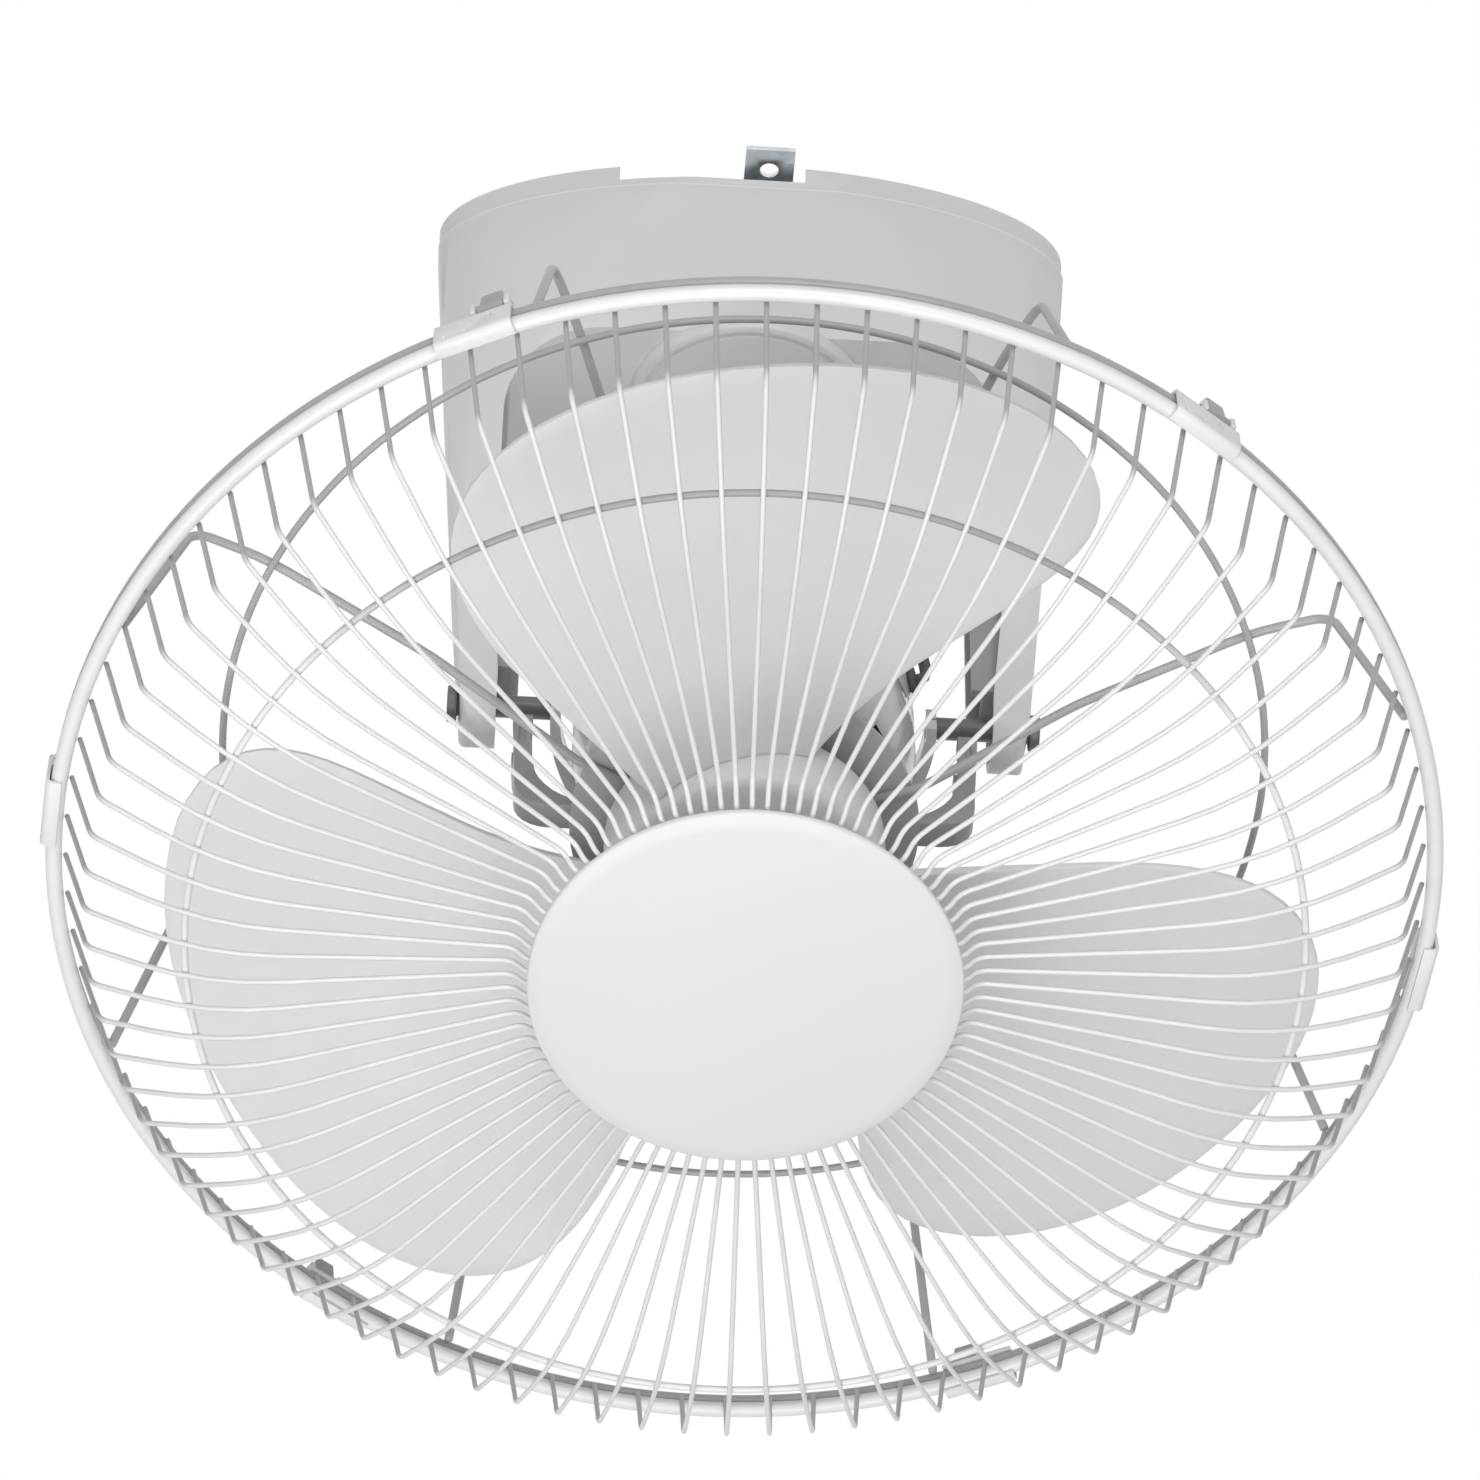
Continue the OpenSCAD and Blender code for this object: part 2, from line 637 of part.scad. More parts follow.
module roll_pin() color(steel) head_frame() rotate([90, 0, 0]) {
    head = roll_boss_end + 1.5 + 2 * eps + 0.2;
    translate([0, 0, shell_in_r + 1.2]) cylinder(h = head - shell_in_r - 1, d = roll_pin_d);
    translate([0, 0, head]) difference() {
        cylinder(h = 4, d = roll_boss_d - 3);
        translate([0, 0, 2.5]) cylinder(h = 2, d = 7, $fn = 6);
    }
}

// ---- Motor ----
module rear_cover() color(motor_grey) head_frame() difference() {
    union() {
        rotate_extrude() polygon([
            [0, cover_rear], [motor_r - 16, cover_rear], [motor_r - 5, cover_rear + 6],
            [motor_r, cover_rear + 16], [motor_r, cover_split], [0, cover_split]
        ]);
        intersection() {
            rotate([90, 0, 0]) cylinder(h = roll_seat_end, d = roll_boss_d + 2);
            translate([-through, -through, -roll_boss_d])
                cube([2 * through, through, cover_split + roll_boss_d]);
        }
    }
    difference() {
        rotate_extrude() polygon([
            [0, cover_rear + shell_t], [motor_r - 17, cover_rear + shell_t],
            [motor_r - 7, cover_rear + 8], [shell_in_r, cover_rear + 17],
            [shell_in_r, cover_split + 1], [0, cover_split + 1]
        ]);
        translate([0, 0, cover_rear]) cylinder(h = shell_t + bearing_w, d = bearing_d + 7);
    }
    translate([0, 0, cover_rear + shell_t - 0.001]) cylinder(h = through, d = bearing_d + 0.04);
    rotate([90, 0, 0]) cylinder(h = through, d = roll_pin_d + 0.04);
    around(12, 15) translate([30, -3, cover_rear - 1]) cube([10, 6, shell_t + 2]);
    around(4, 0) translate([orbit_stud_r, 0, cover_rear - 1]) cylinder(h = 6, d = 2.6);
    lead_place() cylinder(h = 20, d = 8.04, center = true);
}
module front_cover() color(motor_grey) head_frame() difference() {
    union() {
        rotate_extrude() polygon([
            [0, cover_split + eps], [motor_r, cover_split + eps], [motor_r, cover_split + 10],
            [motor_r - 5, cover_front - 11], [motor_r - 15, cover_front - 1],
            [motor_r - 20, cover_front], [nose_r, cover_front], [nose_r, nose_end - 1],
            [nose_r - 1, nose_end], [0, nose_end]
        ]);
        around(4, 45) translate([mount_r, 0, cover_front - 6])
            cylinder(h = flange_front - flange_t - eps - cover_front + 6, r = stud_r);
    }
    difference() {
        rotate_extrude() polygon([
            [0, cover_split - 1], [shell_in_r, cover_split - 1], [shell_in_r, cover_split + 9],
            [motor_r - 8, cover_front - 12], [motor_r - 17, cover_front - 1 - shell_t],
            [motor_r - 20, cover_front - shell_t], [0, cover_front - shell_t]
        ]);
        translate([0, 0, nose_end - bearing_w - 6]) cylinder(h = 20, d = bearing_d + 6);
        around(4, 45) translate([mount_r, 0, cover_front - 9]) cylinder(h = 20, r = stud_r);
    }
    translate([0, 0, -1]) cylinder(h = nose_end, d = bearing_d + 0.04);
    translate([0, 0, -1]) cylinder(h = through, d = shaft_d + 3);
    around(vents, vent_turn) translate([motor_r - 15 + eps, -vent_w / 2, cover_front - 14])
        cube([7.4, vent_w, 20]);
    around(4, 45) translate([mount_r, 0, cover_front - 4]) cylinder(h = through, d = screw_d + 0.02);
}
module stator_core() color(steel) head_frame() difference() {
    translate([0, 0, -stack_h / 2]) tube(stack_h, shell_in_r - eps, rotor_d / 2 + air_gap);
    around(slots) translate([coil_r[0] - 1.5, -slot_w / 2, -through / 2])
        cube([coil_r[1] - coil_r[0] + 3, slot_w, through]);
}
module windings() color(copper) head_frame() {
    around(slots) translate([coil_r[0], -slot_w / 2 + 0.3, -coil_end + 1])
        cube([coil_r[1] - coil_r[0], slot_w - 0.6, 2 * coil_end - 2]);
    for (a = [-coil_end, stack_h / 2 + 0.4])
        translate([0, 0, a]) tube(coil_end - stack_h / 2 - 0.4, coil_r[1], coil_r[0]);
}
module rear_bearing() color(steel) head_frame() translate([0, 0, cover_rear + shell_t + eps]) bearing();
module front_bearing() color(steel) head_frame() translate([0, 0, nose_end - 1 - bearing_w - eps]) bearing();
module bearing() difference() {
    tube(bearing_w, bearing_d / 2, shaft_d / 2 + pin_clear);
    for (a = [-0.4, bearing_w - 0.4]) translate([0, 0, a]) tube(0.8, bearing_d / 2 - 2, shaft_d / 2 + 2);
}

// Side view of one cradle arm: straight beside the motor, then curved in under it
module cradle_view() {
    under = flange_front - flange_t;
    centre = [cradle_in_x, under] - cradle_curve;
    outer = [cradle_x - 1.5, flange_front] - [cradle_heel, cradle_heel];
    polygon(concat(
        [[flange_in_r, under]],
        [for (t = [90:-10:0]) centre + [cradle_curve.x * cos(t), cradle_curve.y * sin(t)]],
        [[cradle_in_x, cradle_top], [cradle_x, cradle_top], [cradle_x - 1.5, flange_front - cradle_heel - 2]],
        [for (t = [0:15:90]) outer + cradle_heel * [cos(t), sin(t)]],
        [[flange_in_r, flange_front]]
    ));
}
// The same arm from the front: wide round the tilt pin, narrow from there to its foot
module cradle_front() {
    wide = cradle_d / 2;
    foot = cradle_foot_d / 2;
    turn_a = cradle_top + cradle_shoulder;
    polygon([
        [-wide, cradle_top - 1], [wide, cradle_top - 1], [wide, turn_a], [foot, turn_a + cradle_taper],
        [foot, flange_front + 1], [-foot, flange_front + 1], [-foot, turn_a + cradle_taper], [-wide, turn_a]
    ]);
}
module head_cradle() color(dark_grey) head_frame() difference() {
    union() {
        translate([0, 0, flange_front - flange_t]) tube(flange_t, flange_r, nose_r + 4);
        intersection() {
            both_arms() rotate([90, 0, 0]) translate([0, 0, -cradle_d / 2])
                linear_extrude(cradle_d) cradle_view();
            rotate([90, 0, 90]) translate([0, 0, -through / 2]) linear_extrude(through) cradle_front();
        }
    }
    both_arms() translate([cradle_x - 20, -cradle_slot / 2, cradle_top - 1]) cube([30, cradle_slot, 13]);
    both_arms() for (s = [-1, 1])
        translate([cradle_x - cradle_t / 2 - 1, s * cradle_d / 2 - 1, cradle_top + 3])
            cube([2, 2, cradle_shoulder]);
    around(4, 45) translate([mount_r, 0, flange_front - flange_t - 1])
        cylinder(h = flange_t + 2, d = screw_d + 0.5);
}
module cradle_screws() color(steel) head_frame() around(4, 45) translate([mount_r, 0, 0]) {
    translate([0, 0, cover_front]) cylinder(h = guard_hub_a + guard_hub_t - cover_front + 0.5, d = screw_d);
    translate([0, 0, guard_hub_a + guard_hub_t + eps]) difference() {
        cylinder(h = 2.8, d = 2 * screw_d);
        translate([0, 0, 1.8]) cube([5, 1, 4], center = true);
    }
}

// ---- Orbit drive ----
module orbit_bracket() color(zinc) head_frame() {
    difference() {
        translate([0, 0, -orbit_back + eps]) union() {
            cylinder(h = 2, d = orbit_motor_d + 4);
            around(4, 0) {
                translate([0, -5, 0]) cube([orbit_stud_r, 10, 2]);
                translate([orbit_stud_r, 0, 0]) cylinder(h = 2, d = 10);
                translate([orbit_stud_r, 0, 0]) cylinder(h = cover_rear + orbit_back - 2 * eps, d = 7);
            }
        }
        translate([0, 0, -orbit_back - 1]) cylinder(h = 6, d = orbit_shaft_d + 5);
    }
}
module orbit_motor() color(steel) head_frame() {
    translate([0, 0, -orbit_back - orbit_motor_h]) cylinder(h = orbit_motor_h, d = orbit_motor_d);
    translate([0, 0, crank_a]) cylinder(h = -orbit_back - crank_a - 1, d = orbit_shaft_d);
    translate([0, 0, -orbit_back - orbit_motor_h - 1.5]) cylinder(h = 3, d = orbit_shaft_d + 5);
}
module crank_arm() color(zinc) head_frame() difference() {
    union() {
        translate([0, 0, crank_a]) cylinder(h = crank_t, d = 15);
        translate([-5, 0, crank_a]) cube([10, crank_r, crank_t]);
        translate([0, crank_r, crank_a]) cylinder(h = crank_t, d = 10);
    }
    translate([0, 0, crank_a - through / 2]) cylinder(h = through, d = orbit_shaft_d + 2 * pin_clear);
    translate([0, crank_r, crank_a - through / 2]) cylinder(h = through, d = 4.02);
}
module crank_ball() color(steel) head_frame() translate([0, crank_r, 0]) {
    translate([0, 0, ball_a]) sphere(d = ball_d);
    translate([0, 0, ball_a]) cylinder(h = crank_a + crank_t - ball_a, d = 4);
}

// The lead leaves the rear cover on the right and runs back to the orbit motor
module lead_place() rotate([0, 0, lead_turn]) translate([shell_in_r, 0, lead_a]) along_x() children();
lead_turn = 17;
lead_a = -3;
lead_d = 4.2;
lead_route = [
    [62.4, 0, -3], [64.2, 0, -3], [65.4, 0, -4], [66, 0.2, -6.4], [65.8, 0.6, -10], [65.2, 1, -15],
    [64.4, 1, -21], [63.4, 1, -28], [62.2, 1, -35], [60.4, 1, -42], [57, 1, -48.4], [51.6, 0.6, -54.4],
    [45, 0, -59.2], [39, -0.4, -63.4], [34, 0, -66.4], [31, 0, lead_end_a],
    [orbit_motor_d / 2 + 2.6, 0, lead_end_a]
];
function ring_at(c, dir, side, r, n) = let (u = unit(cross(dir, side)), w = unit(cross(u, dir)))
    [for (k = [0:n - 1]) c + r * (cos(360 * k / n) * w + sin(360 * k / n) * u)];
// A tube along a route of points, with its ends cut square
module route_tube(route, d, n = 8) {
    m = len(route);
    rings = [for (i = [0:m - 1]) let (along = unit(route[min(i + 1, m - 1)] - route[max(i - 1, 0)]))
        each ring_at(route[i], along, [0, 1, 0], d / 2, n)];
    polyhedron(rings, concat(
        [[for (k = [0:n - 1]) k]],
        [for (i = [0:m - 2], k = [0:n - 1]) let (a = i * n + k, b = i * n + (k + 1) % n)
            [a, a + n, b + n, b]],
        [[for (k = [n - 1:-1:0]) (m - 1) * n + k]]
    ));
}
module motor_lead() color(black) head_frame() rotate([0, 0, lead_turn]) route_tube(lead_route, lead_d);
module lead_gland() color(black) head_frame() {
    lead_place() difference() {
        union() {
            translate([0, 0, eps]) cylinder(h = shell_t + 0.5, d = 8);
            translate([0, 0, shell_t + seam]) cylinder(h = 2, d = 10);
        }
        translate([0, 0, -5]) cylinder(h = 20, d = 3);
    }
    rotate([0, 0, lead_turn]) translate([orbit_motor_d / 2 + eps, -3.5, lead_end_a - 3.8])
        cube([2.4, 7, 8]);
}

// ---- Guard ----
module rear_guard_hub() color(wire_white) head_frame() difference() {
    translate([0, 0, guard_hub_a]) tube(guard_hub_t, guard_hub_r, nose_r + 6);
    around(4, 45) translate([mount_r, 0, guard_hub_a - 1]) cylinder(h = 4, d = screw_d + 0.5);
}
module rear_guard_wires() color(wire_white) head_frame() around(rear_wires, rear_wire_turn)
    bent_bar(rear_path, rear_bends, rear_wire_d, rear_wire_d);
module rear_guard_ring() color(wire_white) head_frame() wire_ring(rear_ring_r, rear_ring_a, rear_ring_d);
module rear_rim() color(wire_white) head_frame() wire_ring(rear_rim_r, rear_rim_a, rear_rim_d);
module front_rim() color(wire_white) head_frame() wire_ring(rim_c, rim_a, front_rim_d);
module front_guard_wires() color(wire_white) head_frame() around(front_wires)
    bent_bar(front_path, front_bends, front_wire_d, front_wire_d);
module front_middle_ring() color(wire_white) head_frame()
    wire_ring(middle_ring_r, middle_ring_a, front_ring_d);
module front_inner_ring() color(wire_white) head_frame()
    wire_ring(inner_ring_r, inner_ring_a, front_ring_d);
module badge_plate() color(zinc) head_frame() difference() {
    translate([0, 0, plate_low]) cylinder(h = 1.2, r = badge_r - 0.8);
    around(3, 90) translate([badge_r - 30, 0, badge_a - 4]) cylinder(h = 6, d = 3.4);
}
// Height of the badge's crown above its edge
function crown(r, edge) = badge_crown * (1 - pow(r / edge, 2));
module badge() color(blade_white) head_frame() difference() {
    union() {
        rotate_extrude() polygon(concat(
            [[0, badge_a + badge_crown - 0.6], [badge_r - 3, badge_low], [badge_r, badge_low]],
            [[badge_r, badge_a + 1.2]],
            [for (i = [7:-1:0]) let (r = (badge_r - 0.8) * i / 7) [r, badge_a + 2 + crown(r, badge_r)]]
        ));
        around(3, 90) translate([badge_r - 30, 0, badge_low]) cylinder(h = 4, d = 8);
    }
    around(3, 90) translate([badge_r - 30, 0, badge_a - 2]) cylinder(h = 4, d = 3.02);
}
module badge_screws() color(steel) head_frame() around(3, 90) translate([badge_r - 30, 0, 0]) {
    translate([0, 0, plate_low - 2 - eps]) cylinder(h = 2, d = 6);
    translate([0, 0, badge_a - 2.8]) cylinder(h = 4.4, d = 3);
}

// A place on the rim, with X pointing out and Z along the fan axis
module clip_place(i) rotate([0, 0, clip_turn + 360 * i / clips]) children();
module clip_saddle() {
    back = rear_rim_a - rear_rim_d / 2 - 0.1;
    front = rim_a + front_rim_d / 2 + 0.1;
    out = guard_r + 0.2;
    rotate([90, 0, 0]) translate([0, 0, -clip_w / 2]) linear_extrude(clip_w) polygon([
        [guard_r - 5.2, back - clip_t], [out + clip_t, back - clip_t], [out + clip_t, front + clip_t],
        [guard_r - 4, front + clip_t], [guard_r - 4, front], [out, front], [out, back],
        [guard_r - 5.2, back]
    ]);
    for (y = [lever_y - lever_w / 2 - 0.3 - lug_t, lever_y + lever_w / 2 + 0.3])
        difference() {
            translate([lever_r - 2.6, y, lever_a - 2.6]) cube([5.2, lug_t, back - clip_t - lever_a + 2.8]);
            translate([lever_r, y - 1, lever_a]) along_y() cylinder(h = lug_t + 2, d = lever_pin_d + 0.04);
        }
}
module guard_clips() color(wire_white) head_frame() for (i = [0:clips - 1]) clip_place(i) clip_saddle();
module clip_pins() color(steel) head_frame() for (i = [0:clips - 1]) clip_place(i)
    translate([lever_r, lever_y - lever_w / 2 - 0.3 - lug_t, lever_a]) along_y()
        cylinder(h = lever_w + 0.6 + 2 * lug_t, d = lever_pin_d);
module clip_lever(i) color(shell_grey) head_frame() clip_place(i) difference() {
    union() {
        translate([lever_r, lever_y - lever_w / 2, lever_a]) along_y()
            cylinder(h = lever_w, d = lever_barrel_d);
        translate([lever_r - lever_t / 2, lever_y - lever_w / 2, lever_a - lever_h])
            cube([lever_t, lever_w, lever_h]);
    }
    translate([lever_r, lever_y - lever_w, lever_a]) along_y()
        cylinder(h = 2 * lever_w, d = lever_pin_d + 2 * pin_clear);
}
module clip_lever_1() clip_lever(0);
module clip_lever_2() clip_lever(1);
module clip_lever_3() clip_lever(2);
module clip_lever_4() clip_lever(3);
module clip_lever_5() clip_lever(4);
module clip_lever_6() clip_lever(5);

// ---- Rotor and blades ----
module fan_shaft() color(steel) head_frame() translate([0, 0, cover_rear + shell_t + 1])
    cylinder(h = nut_front - 3 - cover_rear - shell_t - 1, d = shaft_d);
module rotor_core() color(steel) head_frame() translate([0, 0, -stack_h / 2])
    tube(stack_h, rotor_d / 2, shaft_d / 2 + 0.02);
module fan_hub() color(motor_grey) head_frame() difference() {
    union() {
        difference() {
            rotate_extrude() polygon([
                [0, hub_rear], [hub_r, hub_rear], [hub_r, hub_front - 6], [hub_r - 2, hub_front - 2],
                [hub_r - 6, hub_front], [0, hub_front]
            ]);
            translate([0, 0, hub_rear - 1])
                cylinder(h = hub_front - hub_rear + 1 - hub_wall, r = hub_r - hub_wall);
        }
        translate([0, 0, hub_rear + 4]) cylinder(h = hub_front - hub_rear - 5, r = shaft_d / 2 + 7);
        around(6) translate([shaft_d / 2 + 5, -1, hub_rear + 10])
            cube([hub_r - hub_wall - shaft_d / 2 - 4, 2, hub_front - hub_rear - 12]);
    }
    cylinder(h = through, d = shaft_d + 0.04);
}
module hub_nut() color(motor_grey) head_frame() difference() {
    translate([0, 0, hub_front + eps]) rotate_extrude() polygon([
        [0, 0], [nut_r, 0], [nut_r, nut_front - hub_front - 4], [nut_r - 4, nut_front - hub_front],
        [0, nut_front - hub_front]
    ]);
    translate([0, 0, hub_front - 1]) cylinder(h = nut_front - hub_front - 1.9, d = shaft_d + 0.04);
    around(12) translate([nut_r + 0.8, 0, hub_front - 1]) cylinder(h = 10, r = 1.5);
}

// One blade as a grid of columns across it and rows out to its tip
function tip_reach(t) =
    let (power = t > 0 ? lead_power : trail_power)
    mix(hub_r, blade_r, pow(1 - pow(abs(t), power), 1 / power));
function blade_point(u, v, lift) =
    let (t = blade_edge * sin(90 * u), root = hub_r + 0.15, r = mix(root, tip_reach(t), v),
         out = (r - root) / (blade_r - root),
         turn = t > 0 ? t * lead_half : t * mix(trail_root, trail_tip, out),
         rise = mix(hub_pitch, tip_pitch, out) * turn * PI / 180,
         mid = mix(blade_mid, blade_tip_mid, out) - camber * (1 - t * t) * sin(180 * min(out, 1)))
    [r * cos(turn), r * sin(turn), mid + rise + lift];
module blade() {
    w = blade_rows + 1;
    cells = blade_cols * w + w;
    face = [for (lift = [-blade_t / 2, blade_t / 2], i = [0:blade_cols], j = [0:blade_rows])
        blade_point(2 * i / blade_cols - 1, j / blade_rows, lift)];
    rim = concat([for (i = [0:blade_cols - 1]) i * w], [for (j = [0:blade_rows - 1]) blade_cols * w + j],
        [for (i = [blade_cols:-1:1]) i * w + blade_rows], [for (j = [blade_rows:-1:1]) j]);
    polyhedron(face, concat(
        [for (i = [0:blade_cols - 1], j = [0:blade_rows - 1]) each let (a = i * w + j)
            [[a, a + w + 1, a + w], [a, a + 1, a + w + 1]]],
        [for (i = [0:blade_cols - 1], j = [0:blade_rows - 1]) each let (a = cells + i * w + j)
            [[a, a + w, a + w + 1], [a, a + w + 1, a + 1]]],
        [for (k = [0:len(rim) - 1]) each let (a = rim[k], b = rim[(k + 1) % len(rim)])
            [[a, b, a + cells], [b, b + cells, a + cells]]]
    ));
}
module fan_blades() color(blade_white) head_frame() around(blades, blade_turn) blade();

// ---- Drawing ----
ceiling_plate();
yoke_frame();
yoke_screws();
housing();
housing_screws();
orbit_boss();
orbit_bridge();
orbit_post();
post_nut();
post_socket();
terminal_block();
capacitor();
tilt_bushes();
gimbal_fork();
tilt_pins();
roll_bush();
roll_pin();
rear_cover();
front_cover();
stator_core();
windings();
rear_bearing();
front_bearing();
head_cradle();
cradle_screws();
orbit_bracket();
orbit_motor();
motor_lead();
lead_gland();
rear_guard_hub();
rear_guard_wires();
rear_guard_ring();
rear_rim();
front_rim();
front_guard_wires();
front_middle_ring();
front_inner_ring();
badge_plate();
badge();
badge_screws();
guard_clips();
clip_pins();
clip_lever_1();
clip_lever_2();
clip_lever_3();
clip_lever_4();
clip_lever_5();
clip_lever_6();
fan_shaft();
rotor_core();
fan_hub();
fan_blades();
hub_nut();
crank_arm();
crank_ball();
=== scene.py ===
"""Looks of the orbital ceiling fan: coated wire guard, moulded blades, cap and housing,
painted motor head and zinc fittings."""

import json
import math

import bmesh
import bpy
from mathutils import Matrix, Vector


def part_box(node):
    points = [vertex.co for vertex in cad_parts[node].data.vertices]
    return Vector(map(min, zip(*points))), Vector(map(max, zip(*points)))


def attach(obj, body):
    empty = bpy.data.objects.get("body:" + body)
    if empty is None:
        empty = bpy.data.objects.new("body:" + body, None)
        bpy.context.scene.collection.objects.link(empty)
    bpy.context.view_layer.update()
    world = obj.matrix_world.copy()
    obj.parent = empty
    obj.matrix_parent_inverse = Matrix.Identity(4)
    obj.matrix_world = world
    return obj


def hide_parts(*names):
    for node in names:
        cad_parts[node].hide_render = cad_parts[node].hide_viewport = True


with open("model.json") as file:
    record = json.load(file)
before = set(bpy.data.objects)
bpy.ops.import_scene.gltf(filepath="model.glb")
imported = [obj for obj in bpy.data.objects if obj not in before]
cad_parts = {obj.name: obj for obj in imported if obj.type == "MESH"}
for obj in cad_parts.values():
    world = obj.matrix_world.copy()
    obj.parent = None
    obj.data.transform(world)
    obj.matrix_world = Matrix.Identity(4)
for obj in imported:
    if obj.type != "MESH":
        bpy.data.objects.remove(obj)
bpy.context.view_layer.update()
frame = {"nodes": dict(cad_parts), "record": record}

# Driving sizes in millimetres and degrees, as in the part
PIVOT_DROP = 236.0
HEAD_TILT = 14.5
GUARD_R, RIM_A = 235.0, 103.0
FRONT_RIM_D, REAR_RIM_D = 5.6, 4.4
FRONT_WIRES, FRONT_WIRE_D, SHOULDER_RISE = 90, 1.8, 28.6
REAR_WIRES, REAR_WIRE_TURN, REAR_WIRE_D = 8, 21.0, 3.2
FRONT_RING_D, REAR_RING_D = 2.4, 2.6
MIDDLE_RING_R, INNER_RING_R, REAR_RING_R = 185.0, 64.0, 181.0
BADGE_R, BADGE_CROWN, CAP_T = 71.9, 5.0, 1.2
BADGE_A = RIM_A + 54.0
HUB_R, HUB_REAR, HUB_FRONT = 48.0, 76.0, 104.0
NUT_R, NUT_FRONT = 14.0, 118.0
BLADE_R, BLADE_T, BLADES, BLADE_TURN = 202.0, 2.0, 3, 89.0
CLIPS, CLIP_TURN, CLIP_W, CLIP_T = 6, -5.0, 26.0, 1.2
LEVER_W, LEVER_H, LEVER_T, LEVER_OFF = 9.0, 9.0, 2.2, -5.5

# Places that the painted highlight and the painted shade read, in metres
# Height of the lip step, where the painted highlight runs
LIP_H = 0.0108
# Band in Y where the middle ring's painted shade fades in
PAINTED_SHADE_ARC_Y = (-0.14, -0.19)

# Frames of the pieces: the ceiling, the pivot, and the head with its fan axis up
MM = Matrix.Scale(0.001, 4)
CEILING = Matrix.Identity(4)
PIVOT = Matrix.Translation((0, 0, -PIVOT_DROP / 1000))
GIMBAL = PIVOT @ Matrix.Rotation(math.radians(-HEAD_TILT), 4, "X")
HEAD = GIMBAL @ Matrix.Rotation(math.pi, 4, "X")


# ---- Modelling by hand ----
# A ring's weld, and the gap and angle that join a solid's triangles
WELD_SWELL = 1.12
SOLID_MERGE, SOLID_FLAT = 0.002, 0.5


def only(piece):
    """Selects one piece and nothing else."""
    bpy.ops.object.select_all(action="DESELECT")
    piece.select_set(True)
    bpy.context.view_layer.objects.active = piece


def named(name):
    """Names the piece that was just made."""
    piece = bpy.context.object
    piece.name = name
    piece.data.name = name
    return piece


def modify(piece, kind, **values):
    """Adds a modifier with these values and applies it."""
    only(piece)
    modifier = piece.modifiers.new(kind.lower(), kind)
    for key, value in values.items():
        setattr(modifier, key, value)
    bpy.ops.object.modifier_apply(modifier=modifier.name)


def soften(piece, width, segments=2, angle=35):
    """Rounds the sharp edges and shades the rest smooth."""
    if width:
        modify(
            piece,
            "BEVEL",
            width=width,
            segments=segments,
            limit_method="ANGLE",
            angle_limit=math.radians(angle),
            harden_normals=False,
            use_clamp_overlap=True,
        )
    only(piece)
    bpy.ops.object.shade_smooth_by_angle(angle=math.radians(angle))


def tidy_normals(piece):
    """Merges doubles and turns all faces outwards."""
    only(piece)
    bpy.ops.object.mode_set(mode="EDIT")
    bpy.ops.mesh.select_all(action="SELECT")
    bpy.ops.mesh.remove_doubles(threshold=0.001)
    bpy.ops.mesh.normals_make_consistent(inside=False)
    bpy.ops.object.mode_set(mode="OBJECT")


def pick(piece, wanted, kind="FACE"):
    """In edit mode, selects the faces or vertices whose place and normal pass the test."""
    bpy.ops.mesh.select_mode(type=kind)
    bpy.ops.mesh.select_all(action="DESELECT")
    mesh = bmesh.from_edit_mesh(piece.data)
    if kind == "FACE":
        for face in mesh.faces:
            if wanted(face.calc_center_median(), face.normal):
                face.select_set(True)
    else:
        for vert in mesh.verts:
            if wanted(vert.co, vert.normal):
                vert.select_set(True)
    mesh.select_flush_mode()
    bmesh.update_edit_mesh(piece.data)


def turned(name, profile, sides=96, closed=False):
    """A turned piece: a circle extruded and scaled from point to point of (radius, height)."""
    radius, height = profile[0]
    bpy.ops.object.select_all(action="DESELECT")
    bpy.ops.mesh.primitive_circle_add(vertices=sides, radius=radius, location=(0, 0, height))
    piece = named(name)
    bpy.ops.object.transform_apply(location=True, rotation=True, scale=True)
    bpy.ops.object.mode_set(mode="EDIT")
    bpy.ops.mesh.select_all(action="SELECT")
    for next_radius, next_height in profile[1:] + (profile[:1] if closed else []):
        bpy.ops.mesh.extrude_edges_move(TRANSFORM_OT_translate={"value": (0, 0, next_height - height)})
        if next_radius == 0:
            bpy.ops.mesh.merge(type="CENTER")
            break
        scale = next_radius / radius
        bpy.ops.transform.resize(value=(scale, scale, 1), center_override=(0, 0, 0))
        radius, height = next_radius, next_height
    bpy.ops.object.mode_set(mode="OBJECT")
    tidy_normals(piece)
    return piece


def quarter_round(radius, height, size, steps):
    """Points of a quarter round for a turned profile, about its centre."""
    turns = [math.radians(step * 90 / steps) for step in range(1, steps + 1)]
    return [(radius + size * math.cos(turn), height + size * math.sin(turn)) for turn in turns]


def follow(path, bends, step):
    """In edit mode, extrudes the open edges along each run of a path and spins them round each bend."""
    points = [Vector((x, 0, z)) for x, z in path]
    here, way = points[0], (points[1] - points[0]).normalized()
    for index in range(1, len(points)):
        corner = points[index]
        if index < len(points) - 1:
            new_way = (points[index + 1] - corner).normalized()
            sweep = way.angle(new_way)
            cut = bends[index] * math.tan(sweep / 2)
        else:
            new_way, sweep, cut = way, 0, 0
        stop = corner - way * cut
        bpy.ops.mesh.extrude_edges_move(TRANSFORM_OT_translate={"value": stop - here})
        here = stop
        if sweep:
            side = math.copysign(1, way.cross(new_way).y)
            inward = (new_way - way * way.dot(new_way)).normalized()
            steps = max(2, math.ceil(math.degrees(sweep) / step))
            centre = here + inward * bends[index]
            bpy.ops.mesh.spin(steps=steps, angle=-side * sweep, center=centre, axis=(0, 1, 0))
            here, way = corner + new_way * cut, new_way


